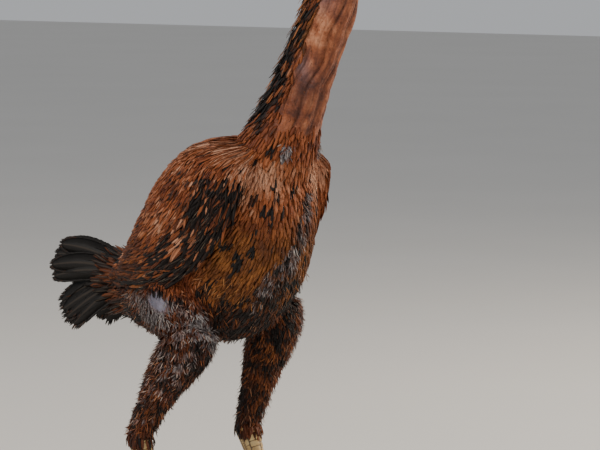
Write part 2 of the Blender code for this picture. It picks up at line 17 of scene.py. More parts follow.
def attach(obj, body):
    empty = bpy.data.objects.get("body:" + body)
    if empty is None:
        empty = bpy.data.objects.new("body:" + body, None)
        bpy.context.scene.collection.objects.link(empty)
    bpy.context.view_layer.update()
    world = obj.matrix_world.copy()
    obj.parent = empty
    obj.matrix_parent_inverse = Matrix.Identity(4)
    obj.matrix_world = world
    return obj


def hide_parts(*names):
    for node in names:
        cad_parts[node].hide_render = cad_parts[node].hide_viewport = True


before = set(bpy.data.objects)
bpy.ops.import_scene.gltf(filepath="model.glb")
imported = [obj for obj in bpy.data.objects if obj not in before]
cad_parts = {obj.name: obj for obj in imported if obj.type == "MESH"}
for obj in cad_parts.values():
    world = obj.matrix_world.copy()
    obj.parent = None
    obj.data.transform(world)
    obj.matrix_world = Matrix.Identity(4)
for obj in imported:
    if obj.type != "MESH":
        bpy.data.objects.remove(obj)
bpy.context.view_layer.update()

CENTRE_X = 0.0045
SIDES = {"right": -1, "left": 1}
RANDOM = np.random.default_rng(11)
LEFT = np.array((0.0, 1.0, 0.0))

# x, y, z, half width, half size behind, half size in front
TORSO = [
    (0.066, 0, 0.424, 0.028, 0.020, 0.014),
    (0.060, 0, 0.410, 0.054, 0.040, 0.029),
    (0.050, 0, 0.385, 0.069, 0.055, 0.050),
    (0.032, 0, 0.355, 0.078, 0.073, 0.074),
    (0.008, 0, 0.325, 0.081, 0.083, 0.092),
    (-0.022, 0, 0.298, 0.076, 0.081, 0.095),
    (-0.055, 0, 0.278, 0.066, 0.071, 0.075),
    (-0.088, 0, 0.267, 0.053, 0.054, 0.056),
    (-0.116, 0, 0.267, 0.038, 0.034, 0.040),
    (-0.134, 0, 0.270, 0.019, 0.017, 0.022),
]
NECK = [
    (0.1515, 0, 0.607, 0.0165, 0.0175, 0.0195),
    (0.1460, 0, 0.591, 0.0195, 0.0215, 0.0240),
    (0.1370, 0, 0.573, 0.0228, 0.0252, 0.0282),
    (0.1250, 0, 0.547, 0.0245, 0.0270, 0.0295),
    (0.1120, 0, 0.517, 0.0255, 0.0280, 0.0295),
    (0.0980, 0, 0.485, 0.0275, 0.0310, 0.0310),
    (0.0840, 0, 0.452, 0.0320, 0.0350, 0.0335),
    (0.0690, 0, 0.420, 0.0410, 0.0420, 0.0370),
    (0.0540, 0, 0.392, 0.0480, 0.0460, 0.0400),
]

EYE_X, EYE_Z = 0.1680, 0.6200
EYE_SIDE = 0.0114
EYE_RADIUS = 0.0066
HEAD = 1.14

# forward, up, half width, half height above, half height below, before the head's scale
SKULL = [
    (0.0225, -0.0018, 0.0070, 0.0085, 0.0090),
    (0.0150, -0.0008, 0.0110, 0.0128, 0.0138),
    (0.0050, 0.0000, 0.0142, 0.0160, 0.0165),
    (-0.0070, 0.0000, 0.0160, 0.0175, 0.0190),
    (-0.0180, -0.0010, 0.0155, 0.0160, 0.0200),
    (-0.0270, -0.0030, 0.0125, 0.0115, 0.0175),
    (-0.0320, -0.0050, 0.0065, 0.0055, 0.0100),
]
BEAK_UPPER = [
    (0.0372, -0.0092, 0.0011, 0.0010, 0.0011),
    (0.0352, -0.0054, 0.0030, 0.0032, 0.0028),
    (0.0310, -0.0032, 0.0048, 0.0056, 0.0032),
    (0.0255, -0.0018, 0.0062, 0.0074, 0.0034),
    (0.0185, -0.0010, 0.0074, 0.0088, 0.0036),
]
BEAK_LOWER = [
    (0.0332, -0.0082, 0.0016, 0.0010, 0.0010),
    (0.0300, -0.0080, 0.0036, 0.0024, 0.0024),
    (0.0250, -0.0078, 0.0050, 0.0030, 0.0034),
    (0.0185, -0.0078, 0.0062, 0.0034, 0.0044),
]

HIP = {-1: (-0.047, 0.036, 0.276), 1: (-0.044, 0.036, 0.284)}
KNEE = {-1: (0.005, 0.060, 0.223), 1: (0.021, 0.061, 0.243)}
HOCK = {-1: (-0.075, 0.056, 0.113), 1: (-0.019, 0.056, 0.115)}
PAD = {-1: (-0.044, 0.058, 0.012), 1: (0.018, 0.060, 0.012)}
THIGH_RADII = (0.030, 0.041, 0.040, 0.034, 0.022)
DRUMSTICK_RADII = (0.0200, 0.0275, 0.0270, 0.0240, 0.0205, 0.0172, 0.0155, 0.0140)
DRUMSTICK_BOW = {-1: -0.007, 1: -0.002}
SHANK_RADII = (0.0125, 0.0105, 0.0088, 0.0082, 0.0084, 0.0098, 0.0112)
TOES = {
    "middle": (4, 0.068, 0.0072),
    "inner": (-36, 0.050, 0.0064),
    "outer": (41, 0.055, 0.0062),
    "hind": (166, 0.027, 0.0056),
}
CLAW_LENGTH = 0.0125
SPUR_LENGTH = 0.008

WING_START, WING_END = 0.75, 7.9
TAIL_ROOT = np.array((-0.116, 0, 0.268))


def unit(vectors):
    """The same directions, all one metre long."""
    return vectors / np.maximum(np.linalg.norm(vectors, axis=-1, keepdims=True), 1e-9)


def slope(low, high, value):
    """0 at low, 1 at high, with an even rise between; low may be the larger."""
    t = np.clip((value - low) / (high - low), 0, 1)
    return t * t * (3 - 2 * t)


def grain(places, size, seed=0):
    """Soft noise from -1 to 1 at each place, in patches about size across."""
    flat = np.asarray(places, float).reshape(-1, 3) / size + seed * np.array((17.3, 5.1, 9.7))
    made = np.array([noise.noise(Vector(place)) for place in flat])
    return made.reshape(np.shape(places)[:-1])


def through(rows, share):
    """A smooth curve through rows of numbers, at shares from 0 to 1 of its length."""
    rows = np.asarray(rows, float)
    place = np.clip(share, 0, 1) * (len(rows) - 1)
    first = np.minimum(place.astype(int), len(rows) - 2)
    t = (place - first)[..., None]
    before, start = rows[np.maximum(first - 1, 0)], rows[first]
    end, after = rows[first + 1], rows[np.minimum(first + 2, len(rows) - 1)]
    leave, arrive = (end - before) / 2, (after - start) / 2
    return (
        (2 * t**3 - 3 * t**2 + 1) * start
        + (t**3 - 2 * t**2 + t) * leave
        + (3 * t**2 - 2 * t**3) * end
        + (t**3 - t**2) * arrive
    )


def grid_faces(steps, around, ring=False, turned=False):
    """Quads between rows of points that run round; in a ring the last row meets the first."""
    i, j = np.meshgrid(np.arange(steps if ring else steps - 1), np.arange(around), indexing="ij")
    ahead, beside = (i + 1) % steps, (j + 1) % around
    quads = [i * around + j, ahead * around + j, ahead * around + beside, i * around + beside]
    return np.stack(quads[::-1] if turned else quads, -1).reshape(-1, 4)


def tube(rings, ends, turned=False):
    """Places and face groups of a closed tube: rings of points, and one point at each end."""
    steps, around = rings.shape[:2]
    j = np.arange(around)
    beside = (j + 1) % around
    last = (steps - 1) * around
    caps = [
        [np.full(around, steps * around), j, beside],
        [np.full(around, steps * around + 1), last + beside, last + j],
    ]
    caps = [np.stack(cap[::-1] if turned else cap, -1) for cap in caps]
    return np.concatenate([rings.reshape(-1, 3), ends]), [grid_faces(steps, around, turned=turned), *caps]


class Body:
    """A rounded form drawn through stations: x, y, z, half width, half size behind and in front."""

    def __init__(self, stations):
        self.rows = np.array(stations, float)

    def axes(self, share):
        share = np.asarray(share, float)
        ahead = through(self.rows, share + 0.01)[..., :3]
        behind = through(self.rows, share - 0.01)[..., :3]
        along = unit(ahead - behind)
        side = unit(LEFT - along * along[..., 1:2])
        return along, side, np.cross(side, along)

    def skin(self, share, angle, lift=0.0):
        """Points of the surface; the angle runs from the +Y side (0) over the back (90 degrees)."""
        share, angle = np.broadcast_arrays(np.asarray(share, float), angle)
        row = through(self.rows, share)
        _, side, back = self.axes(share)
        across, over = np.cos(angle), np.sin(angle)
        depth = np.where(over > 0, row[..., 4], row[..., 5])
        wide = ((row[..., 3] + lift) * across)[..., None] * side
        return row[..., :3] + wide + ((depth + lift) * over)[..., None] * back

    def mesh(self, steps, sides, lift=0.0):
        angles = np.arange(sides) / sides * 2 * math.pi
        rings = self.skin(np.linspace(0, 1, steps)[:, None], angles[None, :], lift)
        return tube(rings, self.rows[[0, -1], :3])

    def length(self):
        return np.linalg.norm(np.diff(self.rows[:, :3], axis=0), axis=1).sum()


def head_place(x, y, z):
    """A place on the head, measured forward, sideways and up from between the eyes."""
    return np.array((EYE_X + HEAD * x, HEAD * y, EYE_Z + HEAD * z))


def head_body(stations):
    rows = []
    for x, z, *sizes in stations:
        rows.append((*head_place(x, 0, z), *(HEAD * size for size in sizes)))
    return Body(rows)


def limb(start, end, side, radii, deep=1.0, bow=0.0):
    """A body from one joint to the next, with radii at even steps and a bow forwards."""
    start, end = np.array(start), np.array(end)
    rows = []
    for i, radius in enumerate(radii):
        share = i / (len(radii) - 1)
        x, y, z = start + (end - start) * share
        x += bow * math.sin(math.pi * share)
        rows.append((x, side * y, z, radius, radius * deep, radius * deep))
    return Body(rows)


def thigh_body(side):
    return limb(HIP[side], KNEE[side], side, THIGH_RADII, deep=1.05)


def drumstick_body(side):
    knee, hock = np.array(KNEE[side]), np.array(HOCK[side])
    start = knee - 0.10 * (hock - knee)
    return limb(start, hock, side, DRUMSTICK_RADII, deep=1.04, bow=DRUMSTICK_BOW[side])


torso = Body(TORSO)
neck = Body(NECK)
skull = head_body(SKULL)
thighs = {side: thigh_body(side) for side in (-1, 1)}
drumsticks = {side: drumstick_body(side) for side in (-1, 1)}


# Meshes


def join(forms):
    """Several forms, each places and face groups, as one."""
    places, groups, count = [], [], 0
    for form_places, form_groups in forms:
        places.append(form_places)
        groups.extend(group + count for group in form_groups)
        count += len(form_places)
    return np.concatenate(places), groups


def to_mesh(name, places, groups):
    mesh = bpy.data.meshes.new(name)
    corners = np.concatenate([group.ravel() for group in groups])
    sizes = np.concatenate([np.full(len(group), group.shape[1]) for group in groups])
    mesh.vertices.add(len(places))
    mesh.vertices.foreach_set("co", (places + (CENTRE_X, 0, 0)).ravel())
    mesh.loops.add(len(corners))
    mesh.loops.foreach_set("vertex_index", corners)
    mesh.polygons.add(len(sizes))
    mesh.polygons.foreach_set("loop_start", np.cumsum(sizes) - sizes)
    mesh.update(calc_edges=True)
    mesh.shade_smooth()
    return mesh


def to_object(name, mesh, look, replaced=()):
    made = bpy.data.objects.new(name, mesh)
    bpy.context.collection.objects.link(made)
    mesh.materials.append(look)
    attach(made, "root")
    if replaced:
        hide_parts(*replaced)
    return made


def set_values(mesh, name, values):
    """Keep one number or three for each point of a mesh, for its material to read."""
    kind = "FLOAT" if values.ndim == 1 else "FLOAT_VECTOR"
    kept = mesh.attributes.new(name, kind, "POINT")
    kept.data.foreach_set("value" if values.ndim == 1 else "vector", values.astype(float).ravel())


# The columns of a coat's marks: black, downy, light and ochre; on black feathers the ochre column paints a
# green sheen
DARK, DOWNY, TONE, TAN = range(4)


def set_marks(mesh, marks):
    """Keep the four marks of each point."""
    set_values(mesh, "marks", marks[:, :TAN])
    set_values(mesh, "ochre", marks[:, TAN])


def set_bake_map(mesh, places):
    """The map that the coat's colours are baked on, from one place for each point."""
    corners = np.zeros(len(mesh.loops), dtype=np.int32)
    mesh.loops.foreach_get("vertex_index", corners)
    layer = mesh.uv_layers.new(name="OFBake")
    layer.data.foreach_set("uv", places[corners].astype(np.float32).ravel())


def ball(centre, radii, turn=0.0, rings=16, sides=24):
    """An ellipsoid; turn leans it about the Y axis."""
    made = bmesh.new()
    matrix = Matrix.LocRotScale(Vector(centre), Euler((0, turn, 0)), Vector(radii))
    bmesh.ops.create_uvsphere(made, u_segments=sides, v_segments=rings, radius=1, matrix=matrix)
    bmesh.ops.triangulate(made, faces=made.faces[:])
    places = np.array([vert.co[:] for vert in made.verts])
    faces = np.array([[vert.index for vert in face.verts] for face in made.faces])
    made.free()
    return places, [faces]


def head_ball(place, radii, turn=0.0):
    return ball(head_place(*place), [HEAD * radius for radius in radii], turn)


# Materials


class Value:
    """A socket that can stand in a sum, so that shader maths reads as a plain expression."""

    def __init__(self, look, socket):
        self.look = look
        self.socket = socket

    def maths(self, operation, first, second=0.0):
        return self.look.node("ShaderNodeMath", {"operation": operation}, {0: first, 1: second})

    def __add__(self, other):
        return self.maths("ADD", self, other)

    def __radd__(self, other):
        return self.maths("ADD", other, self)

    def __sub__(self, other):
        return self.maths("SUBTRACT", self, other)

    def __rsub__(self, other):
        return self.maths("SUBTRACT", other, self)

    def __mul__(self, other):
        return self.maths("MULTIPLY", self, other)

    def __rmul__(self, other):
        return self.maths("MULTIPLY", other, self)

    def __abs__(self):
        return self.maths("ABSOLUTE", self)

    def sine(self):
        return self.maths("SINE", self)


class Look:
    """A material in the making; node adds any node and returns one of its outputs."""

    def __init__(self, name, **constants):
        self.material = bpy.data.materials.new(name)
        self.material.use_nodes = True
        self.tree = self.material.node_tree
        self.shader = self.tree.nodes["Principled BSDF"]
        for key, constant in constants.items():
            self.shader.inputs[key.replace("_", " ")].default_value = constant

    def node(self, kind, settings=None, inputs=None, output=0):
        made = self.tree.nodes.new(kind)
        for key, setting in (settings or {}).items():
            if key == "stops":
                self.set_stops(made.color_ramp, setting)
            else:
                setattr(made, key, setting)
        for key, value in (inputs or {}).items():
            self.feed(made.inputs[key], value)
        return Value(self, made.outputs[output])

    def feed(self, socket, value):
        if isinstance(value, Value):
            self.tree.links.new(value.socket, socket)
        elif socket.type == "RGBA":
            socket.default_value = (*value, 1)
        else:
            socket.default_value = value

    def set_stops(self, ramp, stops):
        while len(ramp.elements) < len(stops):
            ramp.elements.new(1)
        for element, (place, colour) in zip(ramp.elements, stops):
            element.position = place
            element.color = (*colour, 1)

    def place(self):
        return self.node("ShaderNodeTexCoord", output="Object")

    def kept(self, name):
        """The three numbers kept for each point under a name, as three values."""
        vector = self.node("ShaderNodeAttribute", {"attribute_name": name}, output="Vector")
        return self.split(vector)

    def kept_one(self, name):
        return self.node("ShaderNodeAttribute", {"attribute_name": name}, output="Fac")

    def split(self, vector):
        return [self.node("ShaderNodeSeparateXYZ", None, {0: vector}, axis) for axis in "XYZ"]

    def vector(self, operation, first, second=(0, 0, 0), output="Vector"):
        return self.node("ShaderNodeVectorMath", {"operation": operation}, {0: first, 1: second}, output)

    def noise(self, place, size, detail=3.0, stretch=(1, 1, 1)):
        """Noise from 0 to 1 whose patches are about size across."""
        if stretch != (1, 1, 1):
            place = self.vector("MULTIPLY", place, stretch)
        return self.node("ShaderNodeTexNoise", None, {"Vector": place, "Scale": 1 / size, "Detail": detail})

    def cells(self, place, size, feature="F1"):
        inputs = {"Vector": place, "Scale": 1 / size}
        return self.node("ShaderNodeTexVoronoi", {"feature": feature}, inputs, "Distance")

    def rise(self, value, low, high):
        """0 at low, 1 at high, smooth between."""
        settings = {"interpolation_type": "SMOOTHSTEP"}
        inputs = {"Value": value, "From Min": low, "From Max": high}
        return self.node("ShaderNodeMapRange", settings, inputs)

    def ramp(self, value, *stops):
        return self.node("ShaderNodeValToRGB", {"stops": stops}, {0: value})

    def mix(self, share, first, second, blend="MIX"):
        settings = {"data_type": "RGBA", "blend_type": blend, "clamp_factor": True}
        return self.node("ShaderNodeMix", settings, {0: share, 6: first, 7: second}, 2)

    def bump(self, height, depth, strength=1.0, below=None):
        inputs = {"Height": height, "Distance": depth, "Strength": strength}
        if below:
            inputs["Normal"] = below
        return self.node("ShaderNodeBump", None, inputs)

    def finish(self, colour, roughness=None, normal=None):
        self.feed(self.shader.inputs["Base Color"], colour)
        if roughness is not None:
            self.feed(self.shader.inputs["Roughness"], roughness)
        if normal:
            self.feed(self.shader.inputs["Normal"], normal)
        return self.material


COPPER = (
    (0.0, (0.048, 0.011, 0.005)),
    (0.35, (0.175, 0.038, 0.010)),
    (0.65, (0.345, 0.094, 0.027)),
    (1.0, (0.600, 0.295, 0.175)),
)
OCHRE = (
    (0.0, (0.045, 0.013, 0.004)),
    (0.35, (0.150, 0.045, 0.009)),
    (0.65, (0.290, 0.098, 0.020)),
    (1.0, (0.440, 0.190, 0.055)),
)
BLACK = (0.0075, 0.0050, 0.0042)
# Black with a painted green sheen, where the ochre mark is high
SHEEN_BLACK = (0.0078, 0.0074, 0.0066)
DOWN = (
    (0.15, (0.070, 0.052, 0.050)),
    (0.50, (0.235, 0.205, 0.210)),
    (0.90, (0.520, 0.470, 0.430)),
)
SHAFT = (0.520, 0.380, 0.240)
BARB_SPACING = 0.0006
SHADE = (0.020, 0.012, 0.010)
# Bare skin: the neck's copper red, and the darkest and palest of the face's red and the keel's blue
HIDE = (
    (0.30, (0.070, 0.016, 0.006)),
    (0.48, (0.185, 0.046, 0.014)),
    (0.64, (0.290, 0.086, 0.030)),
    (0.85, (0.460, 0.190, 0.095)),
)
FACE_RED = ((0.17, 0.011, 0.007), (0.47, 0.066, 0.036))
KEEL_BLUE = ((0.050, 0.046, 0.064), (0.27, 0.25, 0.31))
# Painted shade in the creases of the neck and the mouth's corner
CREASE_SHADE = (0.045, 0.011, 0.006)
# Painted shade on the skin where it lies under the coat
COAT_SHADE = (0.030, 0.015, 0.010)
UNDER_DOWN = (0.36, 0.31, 0.29)


def plumage_look():
    """Vanes: copper, or black with a painted green sheen on some, with a dark streak down the middle, soft
    barbs with painted shade between them, and a pale shaft on some.
    """
    look = Look("plumage", Specular_IOR_Level=0.22)
    dark, down, tone = look.kept("marks")
    across, along, shaft = look.kept("form")
    ochre = look.kept_one("ochre")
    away = abs(across * 2 - 1)
    fine = look.noise(look.place(), 0.004, 4)
    barbs = (look.kept_one("barbs") * (2 * math.pi / BARB_SPACING) + fine * 6).sine()
    light = tone + (fine - 0.5) * 0.26 + along * 0.08 - 0.04
    copper = look.mix(ochre, look.ramp(light, *COPPER), look.ramp(light, *OCHRE))
    streak = look.rise(away, 0.42, 0.10) * look.rise(along, 0.15, 0.75) * look.rise(tone, 0.95, 0.25)
    streak = streak * (0.45 - ochre * 0.25)
    edge = look.rise(away, 0.70, 1.0) * 0.10
    blacken = look.rise(dark + streak + edge + (fine - 0.5) * 0.4, 0.35, 0.80)
    # Where the ochre mark is high, black feathers get a painted green sheen
    colour = look.mix(blacken, copper, look.mix(ochre, BLACK, SHEEN_BLACK))
    soft = look.ramp(tone + (fine - 0.5) * 0.6 + along * 0.2 - 0.1, *DOWN)
    colour = look.mix(look.rise(down + (fine - 0.5) * 0.4, 0.25, 0.65), colour, soft)
    colour = look.mix(look.rise(away, 0.12, 0.04) * shaft, colour, SHAFT)
    rachis = look.rise(away, 0.10, 0.03) * 0.30
    colour = look.mix(barbs * 0.14 + 0.14 + rachis, colour, SHADE)
    return look.finish(colour, 0.48 + fine * 0.2, look.bump(barbs, 0.00005, 0.25))


def skin_look():
    """The skin: the coat's colours, darkened as painted shade, where it is feathered, and copper red,
    wrinkled skin where it is bare, with painted shade in its creases.
    """
    look = Look("skin", Specular_IOR_Level=0.4, Subsurface_Weight=0.08, Subsurface_Scale=0.004)
    look.shader.inputs["Subsurface Radius"].default_value = (1.0, 0.35, 0.2)
    dark, down, tone = look.kept("marks")
    bare, red, pale = look.kept("hide")
    ochre, folds = look.kept_one("ochre"), look.kept_one("folds")
    place = look.place()
    patches = look.noise(place, 0.016, 5)
    mottle = look.noise(place, 0.0065, 5, (1, 1, 0.55))
    wrinkles = look.noise(place, 0.0035, 5, (1, 1, 0.45))
    fine = look.noise(place, 0.0022, 4)
    pores = look.cells(place, 0.0016)
    light = tone + (fine - 0.5) * 0.4
    copper = look.mix(ochre, look.ramp(light, *COPPER), look.ramp(light, *OCHRE))
    feathered = look.mix(look.rise(dark + (fine - 0.5) * 0.5, 0.35, 0.75), copper, BLACK)
    # Painted shade: the feathered skin is darkened where it lies under the coat
    feathered = look.mix(0.35, feathered, COAT_SHADE)
    # Ochre lightens the bare skin, most on the neck's painted salmon highlight
    hide = patches * 0.95 + mottle * 0.60 - 0.275 + (fine - 0.5) * 0.30 + ochre * bare * 0.34
    hide = look.mix(red, look.ramp(hide, *HIDE), look.mix(mottle, *FACE_RED))
    hide = look.mix(pale, hide, look.mix(mottle, *KEEL_BLUE))
    # Painted shade in the creases of the neck and the mouth, which also darkens the neck's brown patches
    hide = look.mix(folds * (0.35 + mottle * 0.6), hide, CREASE_SHADE)
    colour = look.mix(look.rise(down, 0.3, 0.7), feathered, UNDER_DOWN)
    colour = look.mix(bare, colour, hide)
    height = wrinkles * 0.6 + pores * 0.55 + fine * 0.25
    return look.finish(colour, 0.70 - fine * 0.2, look.bump(height, 0.0009, 0.9))


def bare_look(name, colours, size, depth, roughness, **constants):
    """A look of one mottled substance: colours from dark to light over noise, with fine relief."""
    look = Look(name, **constants)
    place = look.place()
    cloud = look.noise(place, size, 4)
    fine = look.noise(place, size / 7, 3)
    stops = [(0.25 + 0.5 * i / (len(colours) - 1), colour) for i, colour in enumerate(colours)]
    colour = look.ramp(cloud * 0.75 + fine * 0.25, *stops)
    return look.finish(colour, roughness + (fine - 0.5) * 0.2, look.bump(fine, depth, 0.6))


def scale_look():
    """Leg scales: yellow horn, darker between the plates."""
    look = Look("leg scales", Specular_IOR_Level=0.5)
    place = look.place()
    cloud = look.noise(place, 0.012, 4)
    fine = look.noise(place, 0.0012, 3)
    tint = ((0.25, (0.30, 0.17, 0.065)), (0.5, (0.50, 0.33, 0.13)), (0.75, (0.60, 0.45, 0.22)))
    colour = look.ramp(cloud * 0.8 + fine * 0.2, *tint)
    colour = look.mix(look.rise(look.kept_one("groove"), 0.55, 0.10), colour, (0.085, 0.050, 0.026))
    return look.finish(colour, 0.42 + cloud * 0.25, look.bump(fine, 0.0002, 0.6))


PLUMAGE = plumage_look()
SCALES = scale_look()
HORN_COLOURS = ((0.10, 0.062, 0.036), (0.36, 0.24, 0.12), (0.58, 0.45, 0.27))
HORN = bare_look("horn", HORN_COLOURS, 0.009, 0.0001, 0.34, Specular_IOR_Level=0.5)
CLAW_COLOURS = ((0.045, 0.030, 0.022), (0.16, 0.105, 0.065), (0.34, 0.25, 0.16))
CLAW_HORN = bare_look("claw horn", CLAW_COLOURS, 0.006, 0.0001, 0.36, Specular_IOR_Level=0.5)
LID_COLOURS = ((0.20, 0.014, 0.010), (0.34, 0.034, 0.020), (0.46, 0.070, 0.042))
LID_SKIN = bare_look("lid skin", LID_COLOURS, 0.003, 0.0002, 0.5)


# The skin, one mesh from the skull to the hocks

COAT_DEPTH = 0.0042
NECK_COAT = 0.0012
SKIN_GRAIN = 0.00125


def comb_forms():
    """The pea comb: a low ridge with three rows of rounded peas, the middle row tallest."""
    forms = [head_ball((0.0075, 0, 0.0125), (0.0140, 0.0064, 0.0050), turn=0.36)]
    for row in (-1, 0, 1):
        for i in range(6):
            x = 0.0182 - 0.0044 * i - 0.0010 * abs(row)
            top = np.interp(x, (-0.007, 0.005, 0.015, 0.0225), (0.0172, 0.0158, 0.0122, 0.0075))
            size = 1 + 0.14 * math.sin(2.4 * i + 1.9 * row)
            radii = (0.0027 * size, 0.0023 * size, (0.0040 - 0.0009 * abs(row)) * size)
            forms.append(head_ball((x, row * 0.0042, top + 0.0012 - 0.0012 * abs(row)), radii, turn=0.35))
    return forms


# One side of the face: the brow, the ear lobe, the wattle and its root, and both lips of the mouth's
# corner, each with its place, radii and lean
FACE = [
    ((0.0010, 0.0116, 0.0086), (0.0108, 0.0044, 0.0028), 0.12),
    ((-0.0150, 0.0135, -0.0125), (0.0040, 0.0034, 0.0058), 0.0),
    ((0.0140, 0.0058, -0.0168), (0.0060, 0.0017, 0.0073), -0.20),
    ((0.0115, 0.0056, -0.0125), (0.0050, 0.0020, 0.0040), 0.0),
    ((0.0120, 0.0086, -0.0052), (0.0050, 0.0022, 0.0016), 0.25),
    ((0.0120, 0.0080, -0.0088), (0.0050, 0.0022, 0.0015), 0.10),
]
EAR = (-0.0165, 0.0150, -0.0045)
EAR_RIM = 0.0036


def face_forms():
    """The forms of the face, with beads that make the rims round the beak and the ears."""
    forms = []
    for side in (-1, 1):
        for (x, y, z), radii, lean in FACE:
            forms.append(head_ball((x, side * y, z), radii, lean))
        for turn in np.radians(np.linspace(-85, 85, 15)):
            bead = (0.0192, side * 0.0080 * math.cos(turn), 0.0008 + 0.0088 * math.sin(turn))
            forms.append(head_ball(bead, (0.0019, 0.0014, 0.0014)))
        for turn in np.arange(10) / 10 * 2 * math.pi:
            bead = (EAR[0] + EAR_RIM * math.cos(turn), side * EAR[1], EAR[2] + EAR_RIM * math.sin(turn))
            forms.append(head_ball(bead, (0.0015, 0.0014, 0.0015)))
    return forms


HEAD_ZOOM = 2.2
ZOOM_LOW, ZOOM_HIGH = 0.565, 0.600
ZOOM_X = 0.155


def zoom_at(z):
    return 1 + (HEAD_ZOOM - 1) * slope(ZOOM_LOW, ZOOM_HIGH, z)


HEIGHTS = np.linspace(0, 0.7, 2000)
ZOOMED_HEIGHTS = np.concatenate([(0,), np.cumsum(zoom_at(HEIGHTS)[:-1] * np.diff(HEIGHTS))])


def zoom_head(places, back=False):
    """Makes the head larger while the skin is made, so that its grain is finer there, and back again."""
    x, y, z = places.T
    if back:
        z = np.interp(z, ZOOMED_HEIGHTS, HEIGHTS)
        zoom = 1 / zoom_at(z)
    else:
        zoom = zoom_at(z)
        z = np.interp(z, HEIGHTS, ZOOMED_HEIGHTS)
    return np.stack([ZOOM_X + (x - ZOOM_X) * zoom, y * zoom, z], 1)


def remeshed(forms, size):
    """One closed skin round many forms that run into each other."""
    places, groups = join(forms)
    places = zoom_head(places)
    rough = bpy.data.objects.new("rough", to_mesh("rough", places - (CENTRE_X, 0, 0), groups))
    bpy.context.collection.objects.link(rough)
    remesh = rough.modifiers.new("one skin", "REMESH")
    remesh.mode = "VOXEL"
    remesh.voxel_size = size
    soften = rough.modifiers.new("soften", "SMOOTH")
    soften.factor = 0.5
    soften.iterations = 5
    ready = rough.evaluated_get(bpy.context.evaluated_depsgraph_get()).to_mesh()
    places = np.zeros(len(ready.vertices) * 3, dtype=np.float32)
    ready.vertices.foreach_get("co", places)
    corners = np.zeros(len(ready.loops), dtype=np.int32)
    ready.loops.foreach_get("vertex_index", corners)
    quads = corners.reshape(-1, 4)
    bpy.data.objects.remove(rough)
    places = zoom_head(places.reshape(-1, 3).astype(float), back=True)
    return places, point_normals(places, quads), quads


def point_normals(places, quads):
    """The way out of the surface at each point."""
    a, b, c, d = (places[quads[:, i]] for i in range(4))
    faces = np.cross(c - a, d - b)
    normals = np.zeros_like(places)
    for i in range(4):
        np.add.at(normals, quads[:, i], faces)
    return unit(normals)


def neck_turn(places):
    """How far along the neck each place is, and its angle round it."""
    shares = np.linspace(0, 1, 90)
    line = through(neck.rows, shares)[:, :3]
    nearest = np.array([np.argmin(((line - place) ** 2).sum(1)) for place in places])
    share = shares[nearest]
    _, side, back = neck.axes(share)
    reach = places - line[nearest]
    return share, np.arctan2((reach * back).sum(1), (reach * side).sum(1))


def on_neck(places):
    """1 on the neck, fading into the breast and shoulders."""
    return slope(0.415, 0.455, places[:, 2] + 0.25 * (places[:, 0] - 0.09))


# Ridges in a radian round the neck, and how deep they are: folds, and the wrinkles between them
FOLDS, FOLD_DEPTH = 4.6, 0.0032
WRINKLES, WRINKLE_DEPTH = 12, 0.0006
CROSS_DEPTH = 0.0012
LUMP_DEPTH = 0.0016
EYE_RING = 0.0022
EYE_RING_DEPTH = 0.00028
EAR_HOLE, EAR_DEPTH = 0.0021, 0.0034
MOUTH_HALF, MOUTH_DEPTH = 0.0009, 0.0016


def neck_relief(places):
    """How far folds and wrinkles lift the neck's loose skin, and how much painted shade falls in each
    crease, with the brown patches.
    """
    share, angle = neck_turn(places)
    front = slope(0.35, -0.35, np.sin(angle))
    wander = grain(places * (0.4, 0.4, 1), 0.035, 3)
    ridges = np.abs(np.sin(angle * FOLDS + wander * 1.5 + share * 1.8))
    small = np.abs(np.sin(angle * WRINKLES + wander * 3.5 + share * 4 + 1.6 * grain(places, 0.03, 12)))
    cross = np.abs(grain(places * (1, 1, 0.6), 0.010, 5)) ** 0.7
    depth = FOLD_DEPTH * (0.10 + 0.90 * front) * (ridges**0.7 - 0.75)
    depth += (0.0004 + WRINKLE_DEPTH * front) * (small**0.7 - 0.7)
    depth += CROSS_DEPTH * (cross - 0.5) + LUMP_DEPTH * grain(places * (1, 1, 0.6), 0.016, 13)
    broken = slope(-0.35, 0.20, grain(places * (1, 1, 0.5), 0.020, 16))
    crease_shade = slope(0.42, 0.05, ridges) * front * broken + (0.15 + 0.35 * front) * slope(0.40, 0.05, small)
    loose = on_neck(places) * slope(0.622, 0.59, places[:, 2])
    # Painted shade in the creases, added to the neck's brown patches, which are their own colour
    return loose * depth, np.clip(loose * (crease_shade + marked(places, BROWN_MARKS)), 0, 1)


def face_relief(places):
    """How far pores, cracks and the rings round the eyes lift the skin of the face."""
    depth = 0.00050 * grain(places, 0.0034, 8) + 0.00035 * grain(places, 0.0017, 9)
    depth -= 0.00045 * slope(0.16, 0.02, np.abs(grain(places * (0.6, 1, 1.3), 0.0055, 10)))
    rim = np.hypot(places[:, 0] - EYE_X, places[:, 2] - EYE_Z)
    rings = np.sin(rim / EYE_RING * 2 * math.pi + 2 * grain(places, 0.004, 11))
    depth = depth * slope(0.585, 0.600, places[:, 2])
    return depth + slope(0.0125, 0.0085, rim) * EYE_RING_DEPTH * rings


def press_sockets(places):
    """Flatten the skin behind both eyeballs and press the openings of both ears in."""
    for side in (-1, 1):
        reach = places - (EYE_X, side * EYE_SIDE, EYE_Z)
        near = (np.hypot(reach[:, 0], reach[:, 2]) < 0.0052) & (reach[:, 1] * side > 0.001)
        places[near, 1] = side * (EYE_SIDE + 0.0005)
        ear = head_place(EAR[0], side * EAR[1], EAR[2])
        hole = np.exp(-(((places - ear) ** 2).sum(1)) / EAR_HOLE**2)
        places[:, 1] -= side * EAR_DEPTH * hole


